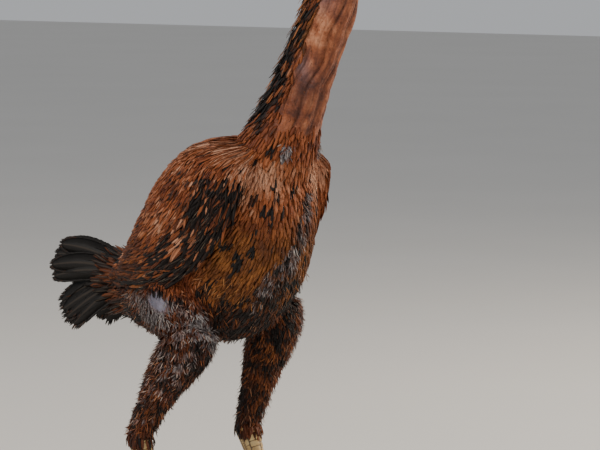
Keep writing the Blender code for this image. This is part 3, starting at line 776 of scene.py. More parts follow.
def mouth_line(places):
    """How deep in the crease that runs back from the beak each place is."""
    corner, end = head_place(0.0200, 0, -0.0062), head_place(0.0045, 0, -0.0080)
    along = np.clip((places[:, 0] - corner[0]) / (end[0] - corner[0]), 0, 1)
    reach = places - corner - along[:, None] * (end - corner)
    gap = np.hypot(reach[:, 0], reach[:, 2])
    line = np.exp(-((gap / MOUTH_HALF) ** 2)) * (1 - 0.8 * along)
    return line * slope(0.004, 0.006, np.abs(places[:, 1]))


def fold_skin(places, normals):
    """The skin with its relief, sockets and mouth, and at each place the painted shade of the creases and
    the mouth, with the neck's brown patches.
    """
    moved, folds = places.copy(), np.zeros(len(places))
    high = places[:, 2] > 0.37
    depth, folds[high] = neck_relief(places[high])
    depth += face_relief(places[high])
    moved[high] += normals[high] * depth[:, None]
    press_sockets(moved)
    mouth = mouth_line(moved)
    moved[:, 1] -= np.sign(moved[:, 1]) * MOUTH_DEPTH * mouth
    # The crease behind the beak gets painted shade too
    return moved, np.clip(folds + 0.8 * mouth, 0, 1)


# Marks as (x, y, z), radius, strength; marked gives each a twin on the other side
DOWNY_MARKS = [
    ((-0.078, 0.058, 0.262), 0.016, 0.45),
    ((-0.036, 0.083, 0.257), 0.017, 1.0),
    ((-0.060, 0.072, 0.254), 0.014, 0.50),
    ((0.017, 0.069, 0.243), 0.009, 0.9),
    ((0.023, 0.060, 0.232), 0.009, 0.8),
    ((0.027, 0.058, 0.220), 0.007, 0.6),
    ((0.098, 0.024, 0.421), 0.007, 0.8),
]
DUSKY_MARKS = [
    ((0.018, 0.074, 0.207), 0.017, 0.9),
    ((0.050, 0.050, 0.268), 0.020, 0.9),
    ((0.020, 0.066, 0.272), 0.012, 0.5),
    ((0.040, 0.030, 0.238), 0.026, 1.0),
    ((-0.006, 0.082, 0.262), 0.010, 0.9),
    ((0.076, 0.026, 0.277), 0.015, 0.8),
    ((0.069, 0.022, 0.268), 0.018, 0.8),
    ((0.089, 0.006, 0.294), 0.014, 0.9),
    ((0.080, 0.010, 0.280), 0.014, 0.9),
    ((0.068, 0.056, 0.309), 0.008, 0.7),
    ((-0.104, 0.030, 0.238), 0.022, 0.7),
    ((0.060, 0.074, 0.375), 0.010, 0.8),
    ((0.102, 0.019, 0.418), 0.005, 0.9),
]
# By the vent: the smooth bluish skin below the folded wing, where nothing grows, and a painted shadow in the
# hollow above it, made black, with no down
VENT_PATCH = [((-0.024, 0.086, 0.258), 0.0115, 1.6), ((-0.038, 0.082, 0.262), 0.0095, 1.1)]
VENT_BARE = [((-0.026, 0.086, 0.261), 0.0145, 1.6), ((-0.040, 0.081, 0.266), 0.0110, 1.1)]
HOLLOW_SHADOW = [((-0.037, 0.082, 0.275), 0.0100, 1.6), ((-0.025, 0.084, 0.274), 0.0070, 1.2)]
# Where the breast is speckled with black, and where light from above is painted on the shoulders
SPECKLED = [
    ((0.0876, 0.036, 0.366), 0.020, 1.0),
    ((0.070, 0.054, 0.312), 0.018, 1.0),
    ((0.049, 0.068, 0.298), 0.020, 1.0),
]
SHOULDER_LIGHT = [
    ((0.082, 0.036, 0.398), 0.018, 0.40),
    ((0.056, 0.066, 0.410), 0.018, 0.20),
    ((0.069, 0.068, 0.390), 0.014, 0.30),
]
# The bare strip of the keel: x, y, z and its half width
KEEL_STRIP = [
    (0.088, 0.017, 0.382, 0.004),
    (0.091, 0.014, 0.366, 0.008),
    (0.0946, 0.009, 0.349, 0.011),
    (0.094, 0.002, 0.331, 0.011),
    (0.0900, -0.007, 0.312, 0.012),
    (0.083, -0.016, 0.298, 0.013),
    (0.072, -0.024, 0.284, 0.012),
    (0.054, -0.028, 0.262, 0.007),
]
# On the bare neck: a painted salmon highlight, and brown and grey patches
SALMON_HIGHLIGHT = [((0.1287, 0.0238, 0.538), 0.015, 1.2), ((0.134, 0.022, 0.556), 0.012, 0.8)]
BROWN_MARKS = [((0.112, 0.0232, 0.476), 0.015, 0.8), ((0.116, 0.020, 0.492), 0.010, 0.5)]
GREY_MARKS = [
    ((0.1107, 0.0256, 0.507), 0.010, 0.6),
    ((0.120, 0.024, 0.492), 0.009, 0.25),
    ((0.1390, 0.026, 0.575), 0.016, 0.30),
    ((0.101, 0.022, 0.423), 0.007, 0.8),
]


def marked(places, marks):
    """How strongly a list of soft marks covers each place."""
    mirrored = np.abs(places * (0, 1, 0)) + places * (1, 0, 1)
    total = np.zeros(len(places))
    for centre, radius, strength in marks:
        total += strength * np.exp(-(((mirrored - centre) ** 2).sum(1)) / radius**2)
    return total


def on_keel(places):
    """1 on the keel's bare strip, with a broken edge."""
    cover = np.zeros(len(places))
    for x, y, z, width in through(KEEL_STRIP, np.linspace(0, 1, 40)):
        gap = ((places - (x, y, z)) ** 2).sum(1)
        cover = np.maximum(cover, np.exp(-gap / width**2))
    return np.clip(cover * (1 + 1.3 * grain(places, 0.010, 15) + 0.6 * grain(places, 0.004, 17)), 0, 1)


def markings(places):
    """How black, how downy, how light and how ochre each place is, alike for the skin and the coat, with
    painted light on the shoulders and the front of the left leg, a painted salmon highlight on the neck and
    a painted shadow in the hollow above the vent.
    """
    x, y, z = places.T
    spots = grain(places * (1, 1, 0.7), 0.0075, 1)
    specks = grain(places, 0.0036, 4)
    broad = grain(places, 0.030, 2)
    leg = slope(0.286, 0.258, z + 0.25 * np.maximum(x, 0))
    # Painted light on the front of the left leg: lighter, less black and more downy than the right leg
    far_leg_light = slope(-0.002, 0.012, x + 0.019 - (z - 0.115) * 0.31) * (y > 0)
    belly = slope(0.276, 0.245, z) * slope(0.075, 0.055, np.abs(y))
    nape = on_neck(places) * slope(0.006, -0.012, x - (0.115 + (z - 0.517) * 0.45))
    rear = slope(-0.085, -0.115, x)
    back = slope(0.050, 0.030, np.abs(y)) * slope(0.045, 0.020, x) * slope(0.30, 0.33, z + 0.5 * x)
    keel = on_keel(places)
    hollow = marked(places, HOLLOW_SHADOW)

    flank = slope(0.32, 0.58, spots + 0.25 * broad + 0.16 * marked(places, SPECKLED))
    leg_dark = np.clip(0.50 + 0.45 * spots + 0.75 * specks + 0.35 * broad - 0.32 * far_leg_light, 0, 1)
    dark = np.maximum(flank * 0.9 * (1 - leg), leg * leg_dark)
    dark = np.maximum(dark, belly * np.clip(0.56 + 0.5 * spots + 0.4 * specks, 0, 1))
    dark = np.maximum(dark, nape * np.clip(0.75 + 0.8 * spots, 0, 1))
    dark = np.maximum(dark, rear * slope(0.25, 0.29, z) * 0.8)
    dark = np.maximum(dark, back * (0.62 + 0.7 * spots + 0.3 * broad))
    dark = np.clip(dark + marked(places, DUSKY_MARKS) * (0.55 + 0.8 * spots + 0.5 * specks), 0, 1)

    down = (keel * 0.80 + marked(places, DOWNY_MARKS)) * (1 + 0.6 * spots + 0.9 * specks)
    fluff = 0.12 + 0.10 * slope(0.19, 0.23, z) + 0.25 * far_leg_light + 0.95 * grain(places, 0.0046, 7)
    down = down + (leg - belly * 0.6) * np.clip(fluff, 0, 0.50)
    keel_dark = slope(0.25, 0.60, keel) * slope(-0.05, 0.16, 0.7 * specks + spots)
    down = np.clip(down, 0, 1) * (1 - np.clip(hollow, 0, 1)) * (1 - 0.85 * keel_dark)
    dark = np.maximum(dark * (1 - 0.9 * down), keel_dark)
    # Painted shadow: the hollow above the vent patch is made black
    dark = np.maximum(dark, hollow)

    # Painted light from above: the shoulders and the top of the breast are lighter, more so on the marked
    # shoulder spots
    shoulder = slope(0.350, 0.375, z) * slope(0.0, 0.04, x) * slope(0.422, 0.405, z)
    tone = 0.44 + 0.26 * grain(places, 0.014, 6) + 0.18 * broad - (0.17 - 0.22 * far_leg_light) * leg
    tone = tone + 0.22 * shoulder + marked(places, SHOULDER_LIGHT) - 0.22 * keel - 0.12 * belly
    ochre = slope(0.0, 0.05, x) * slope(0.375, 0.320, z) * (1 - leg) + 0.35 * leg + 0.25 * broad
    # Painted highlight: the salmon on the upper neck rides on the ochre mark
    ochre = np.maximum(ochre, marked(places, SALMON_HIGHLIGHT))
    return np.clip(np.stack([dark, down, tone, ochre], 1), 0, 1)


def bareness(places):
    """How bare, how red and how pale the skin is at each place."""
    x, _, z = places.T
    throat = on_neck(places) * slope(-0.004, 0.010, x - (0.108 + (z - 0.517) * 0.43))
    face = slope(0.586, 0.602, z + 0.007 * grain(places, 0.007, 18)) * slope(0.118, 0.135, x)
    pale = np.clip(on_keel(places) + marked(places, VENT_PATCH), 0, 1)
    bare = np.clip(throat + face + pale, 0, 1)
    return np.stack([bare, face, np.clip(pale + throat * marked(places, GREY_MARKS), 0, 1)], 1)


def make_skin():
    """The one skin, in place of the flesh nodes; returns its points and faces."""
    forms = [torso.mesh(40, 48, -COAT_DEPTH), neck.mesh(40, 40, -NECK_COAT), skull.mesh(24, 32, 0)]
    for side in (-1, 1):
        forms.append(thighs[side].mesh(16, 28, -COAT_DEPTH))
        forms.append(drumsticks[side].mesh(24, 28, -0.0036))
    places, normals, quads = remeshed(forms + comb_forms() + face_forms(), SKIN_GRAIN)
    places, folds = fold_skin(places, normals)
    mesh = to_mesh("skin", places, [quads])
    set_marks(mesh, markings(places))
    # folds: painted shade in the creases, with the neck's brown patches
    set_values(mesh, "folds", folds)
    set_values(mesh, "hide", bareness(places))
    replaced = ["torso", "neck", "head", "comb"]
    for name in SIDES:
        replaced += ["thigh_" + name, "drumstick_" + name, "wattle_" + name]
    to_object("skin", mesh, skin_look(), replaced)
    return places, quads


def flow_guides():
    """Points along every body with the way its feathers lie there and how wide it is."""
    guides = []
    for body in (torso, neck, *thighs.values(), *drumsticks.values()):
        for share in np.linspace(0.02, 0.98, 12):
            row = through(body.rows, np.array(share))
            along, _, _ = body.axes(share)
            guides.append((*row[:3], *along, row[3:].mean()))
    return np.array(guides)


class Ground:
    """The skin as the coat finds it: where its points are, the way out there and the way feathers lie."""

    def __init__(self, places, quads):
        self.corners = places[quads]
        triangles = np.concatenate([quads[:, [0, 1, 2]], quads[:, [0, 2, 3]]])
        self.tree = BVHTree.FromPolygons(places.tolist(), triangles.tolist(), all_triangles=True)
        self.normals = unit(point_normals(places, quads)[triangles].sum(1))
        self.guides = flow_guides()
        self.planted = []

    def nearest(self, places):
        """The skin's nearest point to each place, the way out there and the distance."""
        flat = places.reshape(-1, 3)
        found = np.zeros_like(flat)
        faces = np.zeros(len(flat), dtype=int)
        gaps = np.zeros(len(flat))
        for i, place in enumerate(flat):
            spot, _, faces[i], gaps[i] = self.tree.find_nearest(place)
            found[i] = spot
        shape = places.shape
        return found.reshape(shape), self.normals[faces].reshape(shape), gaps.reshape(shape[:-1])

    def follow(self, spines):
        """Spines laid on the skin, and the way out at each of their points, smoothed along them."""
        on_skin, out, _ = self.nearest(spines)
        smooth = unit(out + np.roll(out, 1, axis=1) * 0.5)
        smooth[:, 0] = out[:, 0]
        return on_skin, smooth

    def ways(self, roots, out, spread):
        """The way that each feather lies on the skin, leaning to either side by about spread."""
        ways = np.zeros_like(roots)
        for guide in self.guides:
            reach = ((roots - guide[:3]) ** 2).sum(1) / guide[6] ** 2
            ways += np.exp(-1.6 * reach)[:, None] * guide[3:6]
        ways = unit(ways)
        ways = unit(ways - out * (ways * out).sum(1)[:, None])
        return unit(ways + np.cross(out, ways) * RANDOM.normal(0, spread, (len(roots), 1)))

    def samples(self, count, keep):
        """Random points of the skin, spread evenly over the faces that keep allows."""
        a, b, c, d = self.corners.transpose(1, 0, 2)
        area = np.linalg.norm(np.cross(c - a, d - b), axis=1)
        area = area * np.clip(keep(self.corners.mean(1)), 0, 1)
        picked = RANDOM.choice(len(area), count, p=area / area.sum())
        u, v = RANDOM.random((2, count, 1))
        near, far = a[picked] * (1 - u) + b[picked] * u, d[picked] * (1 - u) + c[picked] * u
        return near * (1 - v) + far * v


# Feathers

BAKE_PATCH = 0.003
# Shares of a feather's length where its stations are, and how wide it is there
VANE_SHARES = np.array((0.0, 0.30, 0.62, 0.86, 1.0))
VANE_WIDTHS = np.array((0.45, 0.95, 1.0, 0.74, 0.22))
SMALL_SHARES = np.array((0.0, 0.38, 0.80, 1.0))
SMALL_WIDTHS = np.array((0.50, 1.0, 0.88, 0.22))
LONG_SHARES = np.array((0.0, 0.12, 0.25, 0.38, 0.50, 0.62, 0.73, 0.83, 0.91, 0.97, 1.0))
LONG_WIDTHS = np.array((0.30, 0.62, 0.85, 0.97, 1.0, 1.0, 0.96, 0.86, 0.68, 0.42, 0.10))


def vanes(spine, out, half, thickness, camber=0.12):
    """Closed vanes round spines: left edge, ridge, right edge and underside at each station.

    spine and out are (count, stations, 3), half is (count, stations, 2) for the left and right half widths.
    """
    count, stations = spine.shape[:2]
    ahead = unit(np.gradient(spine, axis=1))
    across = unit(np.cross(out, ahead))
    left = spine + across * half[..., :1] - out * camber * half[..., :1]
    right = spine - across * half[..., 1:] - out * camber * half[..., 1:]
    tall = np.broadcast_to(np.asarray(thickness, float), (count, stations))[..., None]
    places = np.stack([left, spine + out * tall, right, spine - out * tall * 0.4], 2)
    first = (np.arange(count) * stations * 4)[:, None, None]
    step = (np.arange(stations - 1) * 4)[None, :, None]
    corner = np.arange(4)[None, None, :]
    beside = (corner + 1) % 4
    low, high = first + step, first + step + 4
    quads = np.stack([low + corner, low + beside, high + beside, high + corner], -1).reshape(-1, 4)
    start = first[:, 0, :] + np.array([3, 2, 1, 0])
    end = first[:, 0, :] + (stations - 1) * 4 + np.arange(4)
    return places.reshape(-1, 3), [np.concatenate([quads, start, end])]


def feather_piece(name, spine, out, half, thickness, marks, unwrap, shaft=0.0):
    """One coat piece from many vanes, with its marks, its own grid and its bake map."""
    count, stations = spine.shape[:2]
    places, groups = vanes(spine, out, half, thickness)
    mesh = to_mesh(name, places, groups)
    across = np.broadcast_to(np.array([0, 0.5, 1, 0.5]), (count, stations, 4))
    along = np.broadcast_to(np.linspace(0, 1, stations)[None, :, None], (count, stations, 4))
    shafts = np.broadcast_to(np.asarray(shaft, float).reshape(-1, 1, 1), (count, stations, 4))
    set_values(mesh, "form", np.stack([across, along, shafts], -1).reshape(-1, 3))
    steps = np.linalg.norm(np.diff(spine, axis=1), axis=2)
    barbs = np.repeat(np.pad(np.cumsum(steps, 1), ((0, 0), (1, 0)))[..., None], 4, axis=2)
    barbs[..., (0, 2)] -= half
    set_values(mesh, "barbs", barbs.ravel())
    set_marks(mesh, np.repeat(marks, stations * 4, axis=0))
    patch = np.stack([across - 0.5, along - 0.5], -1) * BAKE_PATCH
    set_bake_map(mesh, (unwrap[:, None, None, :] + patch).reshape(-1, 2))
    to_object(name, mesh, PLUMAGE)


def half_widths(width, profile, count, low, high):
    """Left and right half widths at each station, each with its own chance share from low to high."""
    return width / 2 * profile[None, :, None] * RANDOM.uniform(low, high, (count, len(profile), 2))


def rays(roots, ways, lengths, shares):
    """Straight spines from their roots, with points at shares of their lengths."""
    return roots[:, None] + ways[:, None] * (lengths[:, None] * shares)[..., None]


class Kind(NamedTuple):
    """One kind of feather: length and width, and how far each station rises off the skin.

    Chance gives each feather a length between two, a ruffle that its rise is multiplied by, an uneven
    share of the width at each station, and all of them droop by the same share of their length.
    """

    length: tuple
    width: float
    rise: tuple
    ruffle: tuple
    uneven: tuple
    droop: float = 0.0


def small_kind(length, width, *rise):
    """A kind of small feather, with four stations."""
    return Kind((0.7 * length, 1.25 * length), width, rise, (0.5, 1.4), (0.75, 1.2))


CUFF = Kind((0.009, 0.014), 0.0030, (0.0, 0.0020, 0.0026, 0.0024), (0.7, 1.3), (0.75, 1.2))
HACKLE = Kind((0.015, 0.031), 0.0034, (-0.001, 0.0022, 0.0036, 0.0046, 0.0054), (0.5, 1.4), (0.6, 1.2))
RUMP = Kind((0.026, 0.040), 0.0058, (-0.001, 0.0030, 0.0048, 0.0060, 0.0068), (0.7, 1.3), (0.8, 1.15), 0.10)
TAIL_COVERT = Kind((0.018, 0.033), 0.0062, (-0.001, 0.0018, 0.0030, 0.0038, 0.0042), (0.6, 1.3), (0.7, 1.15))
BETWEEN = small_kind(0.012, 0.0032, -0.0008, 0.0016, 0.0026, 0.0030)
FLUFF = small_kind(0.0095, 0.0011, -0.0006, 0.0024, 0.0040, 0.0054)
CROWN = small_kind(0.0085, 0.0020, -0.0004, 0.0008, 0.0014, 0.0018)
EAR_TUFT = small_kind(0.0062, 0.0009, -0.0003, 0.0009, 0.0014, 0.0016)
FACE_BRISTLE = small_kind(0.0020, 0.00026, -0.0002, 0.0003, 0.0006, 0.0008)
NECK_BRISTLE = small_kind(0.0036, 0.00042, -0.0003, 0.00045, 0.0009, 0.0012)


def grow(kind, roots, out, ways, ground=None):
    """Spines, ways out and half widths of one kind of feather, laid on the skin where ground is given."""
    shares, widths = (SMALL_SHARES, SMALL_WIDTHS) if len(kind.rise) == 4 else (VANE_SHARES, VANE_WIDTHS)
    count = len(roots)
    lengths = RANDOM.uniform(*kind.length, count)
    rise = np.array(kind.rise) * RANDOM.uniform(*kind.ruffle, (count, 1))
    spine, out = rays(roots, ways, lengths, shares), np.repeat(out[:, None], len(shares), 1)
    if ground:
        spine, out = ground.follow(spine)
    spine = spine + out * rise[..., None]
    spine[..., 2] -= kind.droop * lengths[:, None] * shares**2
    return spine, out, half_widths(kind.width, widths, count, *kind.uneven)


def vary(marks, column, spread):
    """Give each feather its own amount of one mark."""
    marks[:, column] = np.clip(marks[:, column] + RANDOM.normal(0, spread, len(marks)), 0, 1)


def unrolled(share, angle):
    """Where roots lie on a body's bake map: round it, and along it."""
    return np.stack([(angle / (2 * math.pi)) % 1, share], 1) * 0.98 + 0.01


def rooted(body, spacing, first=0.0, last=1.0, angles=(0, 360)):
    """Staggered rows of roots over a body, as shares and angles."""
    rows = max(2, int(body.length() * (last - first) / spacing))
    shares, turns = [], []
    low, high = math.radians(angles[0]), math.radians(angles[1])
    for i in range(rows):
        share = first + (last - first) * (i + 0.5) / rows
        row = through(body.rows, np.array(share))
        around = (high - low) * (row[3] + (row[4] + row[5]) / 2) / 2
        count = max(3, int(around / spacing))
        turn = low + (high - low) * (np.arange(count) + 0.5 * (i % 2) + 0.25) / count
        turns.append(turn + RANDOM.normal(0, 0.22, count) * (high - low) / count)
        shares.append(share + RANDOM.normal(0, 0.22, count) * (last - first) / rows)
    return np.clip(np.concatenate(shares), 0, 1), np.concatenate(turns)


def under_wing(share, angle):
    """Which places of the trunk the folded wing hides."""
    u = (share * (len(TORSO) - 1) - WING_START) / (WING_END - WING_START)
    turn = (np.degrees(angle) + 90) % 360 - 90
    turn = np.where(turn > 90, 180 - turn, turn)
    lower, upper = wing_edges(u)
    return (u > 0.08) & (u < 0.85) & (turn > lower + 16) & (turn < upper - 24)


def body_cover(places):
    """How closely the trunk and legs are feathered: thin on the keel, bare on the bluish patches."""
    downy = slope(0.45, 0.75, markings(places)[:, 1])
    return (1 - 0.85 * downy) * (1 - np.clip(marked(places, VENT_BARE) - 0.2, 0, 1))


def body_feathers(name, ground, body, size, flat=1.0, cover=body_cover, **area):
    """A coat of small feathers over one body: size is their spacing, length and width."""
    spacing, length, width = size
    share, angle = rooted(body, spacing, **area)
    roots, out, gap = ground.nearest(body.skin(share, angle, -COAT_DEPTH))
    keep = (gap < 0.004) & (RANDOM.random(len(share)) < cover(roots))
    if body is torso:
        keep &= ~under_wing(share, angle)
    share, angle, roots, out = share[keep], angle[keep], roots[keep], out[keep]
    ground.planted.append(roots)
    count = len(roots)
    ways = ground.ways(roots, out, 0.13 / flat)
    marks = markings(roots)
    vary(marks, TONE, 0.11 / flat)
    vary(marks, DARK, 0.10)
    lengths = length * RANDOM.uniform(0.75, 1.2, count) * (1 - 0.25 * marks[:, DOWNY])
    ruffle = RANDOM.uniform(1 - 0.4 / flat, 1 + 0.5 / flat, count) * (1 + 0.8 * marks[:, DOWNY])
    rise = -0.0008 + ruffle[:, None] * np.array((0.0, 0.0018, 0.0026, 0.0032 - 0.0010 * (flat > 1)))
    spine, out = ground.follow(rays(roots, ways, lengths, SMALL_SHARES))
    wide = width * RANDOM.uniform(0.75, 1.2, (count, 1, 2))
    half = half_widths(wide, SMALL_WIDTHS, count, 0.62, 1.15)
    spine = spine + out * rise[..., None]
    feather_piece(name, spine, out, half, 0.00016, marks, unrolled(share, angle))


def make_coat(ground):
    """The small feathers of the trunk, in four lengths, and of the legs."""
    lengths = {"shoulders": (0.02, 0.26), "breast": (0.26, 0.44), "belly": (0.44, 0.62), "rear": (0.62, 1.0)}
    for name, (first, last) in lengths.items():
        size = (0.0028, 0.0165, 0.0039)
        body_feathers("coat_" + name, ground, torso, size, 1.35, first=first, last=last)
    for name, side in SIDES.items():
        body_feathers("coat_thigh_" + name, ground, thighs[side], (0.0027, 0.012, 0.0029))
        body_feathers("coat_drumstick_" + name, ground, drumsticks[side], (0.0023, 0.0095, 0.0024))


def hock_cuffs():
    """Short feathers that hang from the ends of the drumsticks over the tops of the shanks."""
    for name, side in SIDES.items():
        body = drumsticks[side]
        share = np.repeat((0.94, 0.97, 0.995), 46)
        count = len(share)
        angle = RANDOM.uniform(0, 2 * math.pi, count)
        roots = body.skin(share, angle, -0.0030)
        out = unit(roots - through(body.rows, share)[:, :3])
        down_shank = unit(np.array(PAD[side]) - HOCK[side]) * (1, side, 1)
        ways = unit(down_shank + body.axes(0.97)[0] * 0.5 + RANDOM.normal(0, 0.10, (count, 3)))
        spine, out, half = grow(CUFF, roots, out, ways)
        marks, unwrap = markings(roots), unrolled(share, angle)
        feather_piece("hock_cuff_" + name, spine, out, half, 0.00025, marks, unwrap)


# Wings, folded against the trunk; u runs from the shoulder (0) to the tips (1), angles from the side up


def wing_edges(u):
    """Lower and upper edge of the folded wing, in degrees from the side over the back."""
    lower = 24 * (np.maximum(u - 0.25, 0) / 0.75) ** 1.2 - 20 + 12 * slope(0.50, 1.0, u)
    return lower, 8 + 62 * (1 - np.clip(u, 0, 1) ** 4)


def wing_place(side, u, angle, lift=0.0, share_out=1.0):
    """Points of the folded wing, from its inner face (share_out 0) to its outer face (1), plus lift."""
    lower, upper = wing_edges(u)
    v = np.clip((angle - lower) / (upper - lower), 0, 1)
    along = 0.0220 * np.exp(-(((u - 0.10) / 0.30) ** 2)) + 0.0110 - 0.004 * u
    edge = 1 - np.abs(2 * v - 1) ** 3
    front = np.minimum(1, (np.clip(u, 0, 1) / 0.12) ** 0.5 + 0.12)
    depth = -0.002 + 0.030 * np.maximum(u - 0.55, 0) ** 1.5
    depth = depth + share_out * (0.0018 + along * (0.42 + 0.58 * edge) * front)
    share = (WING_START + (WING_END - WING_START) * u) / (len(TORSO) - 1)
    return torso.skin(share, np.radians(angle), depth + lift) * (1, side, 1)


def wing_core(side):
    """The body of the wing under its feathers."""
    u = np.linspace(0, 0.94, 38)[:, None]
    lower, upper = wing_edges(u)
    angle = lower + (upper - lower) * np.linspace(0, 1, 18)[None, :]
    outer = wing_place(side, u, angle, -0.0030)
    inner = wing_place(side, u, angle, share_out=0.0)[:, ::-1]
    rings = np.concatenate([outer, inner], 1)
    return tube(rings, (rings[0].mean(0), rings[-1].mean(0)), turned=side < 0)


def wing_vanes(side, roots, tips, rise, shares=VANE_SHARES):
    """Spines over the wing from roots to tips, each (u, angle), with the way out at each station."""
    u = roots[:, :1] + (tips[:, :1] - roots[:, :1]) * shares
    angle = roots[:, 1:] + (tips[:, 1:] - roots[:, 1:]) * shares
    spine = wing_place(side, u, angle, rise)
    return spine, unit(wing_place(side, u, angle, rise + 0.01) - spine)


def wing_edge_feathers(name, side):
    """Small feathers round both edges of the wing, from its outer face down to the flank or the back."""
    parts = []
    for edge, turn in ((0, -4), (1, 4)):
        made = []
        for i, share_out in enumerate((0.10, 0.30, 0.50, 0.70, 0.90)):
            u = np.arange(-0.02 + 0.007 * (i % 2), 0.98, 0.014)
            made.append(np.stack([u + RANDOM.normal(0, 0.003, len(u)), np.full(len(u), share_out)], 1))
        roots = np.concatenate(made)
        u = roots[:, :1] + 0.085 * VANE_SHARES
        share_out = roots[:, 1:] + RANDOM.normal(0.05, 0.08, (len(roots), 1)) * VANE_SHARES
        angle = wing_edges(u)[edge]
        place = wing_place(side, u, angle, 0.0, share_out)
        out = unit(wing_place(side, u, angle + turn, 0.0, share_out) - place)
        marks, _ = wing_marks(roots[:, 0], angle[:, 0], place[:, 1])
        parts.append((place, out, marks, roots[:, 0], 0.10 + 0.80 * edge + 0.08 * roots[:, 1]))
    place, out, marks, u, row = (np.concatenate(columns) for columns in zip(*parts))
    rise = np.array((-0.001, 0.0016, 0.0026, 0.0034, 0.0038)) * RANDOM.uniform(0.6, 1.3, (len(u), 1))
    half = half_widths(0.0046, VANE_WIDTHS, len(u), 0.6, 1.2)
    unwrap = np.stack([u * 0.9 + 0.06, row], 1)
    spine = place + out * rise[..., None]
    feather_piece("wing_edge_" + name, spine, out, half, 0.00018, marks, unwrap)


# Places of a few pale feathers on the wings and of one dark smudge, and how far each reaches
PALE_FEATHERS = [(0.0664, 0.0714, 0.404), (0.044, -0.066, 0.413)]
PALE_REACH = 0.0065
DARK_SMUDGE = (0.062, -0.069, 0.397)
SMUDGE_REACH = 0.0085


def wing_marks(u, angle, places):
    """The wing's markings: black along its lower edge and shoulder and copper streaks over the rest, with
    painted shade toward its rear and painted light near the shoulders.
    """
    lower, upper = wing_edges(u)
    v = (angle - lower) / (upper - lower)
    spots = grain(places, 0.013, 21)
    streaks = grain(np.stack([u * 0.05, angle * 0.0011, 0 * u], -1), 0.006, 24)
    reach = 0.19 + 0.20 * slope(0.42, 0.15, u) - 0.34 * slope(0.60, 0.90, u)
    band = slope(0.09, -0.09, v - reach + 0.34 * streaks + 0.10 * spots) * slope(0.04, 0.12, u)
    band = band * np.where(places[..., 1] > 0, slope(0.18, 0.40, u), 1)
    dark = np.maximum(band, slope(0.30, 0.70, streaks * 0.7 + spots * 0.6) * 0.7)
    dark = np.maximum(dark, slope(0.88, 1.0, v) * slope(0.05, 0.20, u) * (0.70 + 0.6 * spots))
    dark = dark + 0.8 * np.exp(-((places - DARK_SMUDGE) ** 2).sum(-1) / SMUDGE_REACH**2)
    # Toward the rear and lower part the wing is browner, its own colour, and darker, partly painted shade
    rear = slope(0.35, 0.80, u) * slope(1.0, 0.4, v)
    pale = sum(np.exp(-((places - spot) ** 2).sum(-1) / PALE_REACH**2) for spot in PALE_FEATHERS)
    tone = 0.64 + 0.32 * streaks + 0.2 * grain(places, 0.05, 23) - 0.48 * rear + 0.5 * pale
    # Painted light from above near the shoulders
    tone = np.clip(tone + marked(places, SHOULDER_LIGHT), 0, 1)
    return np.stack([np.clip(dark * (1 - pale), 0, 1), 0.5 * pale, tone, 0.7 * rear], -1), band


def wing_quills(side):
    """Secondaries and primaries, the long flight feathers, whose edges lie one below the next."""
    count = 14
    angle = np.linspace(-7, 62, count)
    reach = 1.03 * (1 - np.maximum(angle - 8, 0) / 66) ** 0.25
    roots = np.stack([np.full(count, 0.40), angle], 1)
    tips = np.stack([reach, angle - 3 + 22 * np.linspace(1, 0, count) ** 2], 1)
    more = 7
    low = np.linspace(-12, -3, more)
    roots = np.concatenate([np.stack([np.full(more, 0.46), low], 1), roots])
    tips = np.concatenate([np.stack([np.linspace(1.03, 1.00, more), low + 25], 1), tips])
    width = np.concatenate([np.full(more, 0.0100), np.full(count, 0.017)])
    stagger = np.linspace(-0.0024, 0.0014, len(roots))[:, None]
    rise = -0.003 * (1 - LONG_SHARES) ** 4 + 0.0016 * LONG_SHARES**2 + stagger
    return roots, *wing_vanes(side, roots, tips, rise, LONG_SHARES), width[:, None, None]


def set_plain_marks(mesh, marks):
    """The same marks all over a piece that lies under feathers."""
    set_marks(mesh, np.tile(marks, (len(mesh.vertices), 1)))
    set_values(mesh, "form", np.tile((0.8, 0.5, 0), (len(mesh.vertices), 1)))


# Tiers of coverts: start and end along the wing, step from row to row and along a row, then each
# feather's width, length and lift
TIERS = {
    "greater_coverts_": (0.20, 0.84, 0.040, 0.0048, 0.0064, 0.040, 0.0022),
    "wing_coverts_": (-0.05, 0.93, 0.0155, 0.0031, 0.0040, 0.025, 0.0034),
}
# How far the wing's face is from the middle of the trunk, and how long the folded wing is
WING_RADIUS, WING_LENGTH = 0.09, 0.24


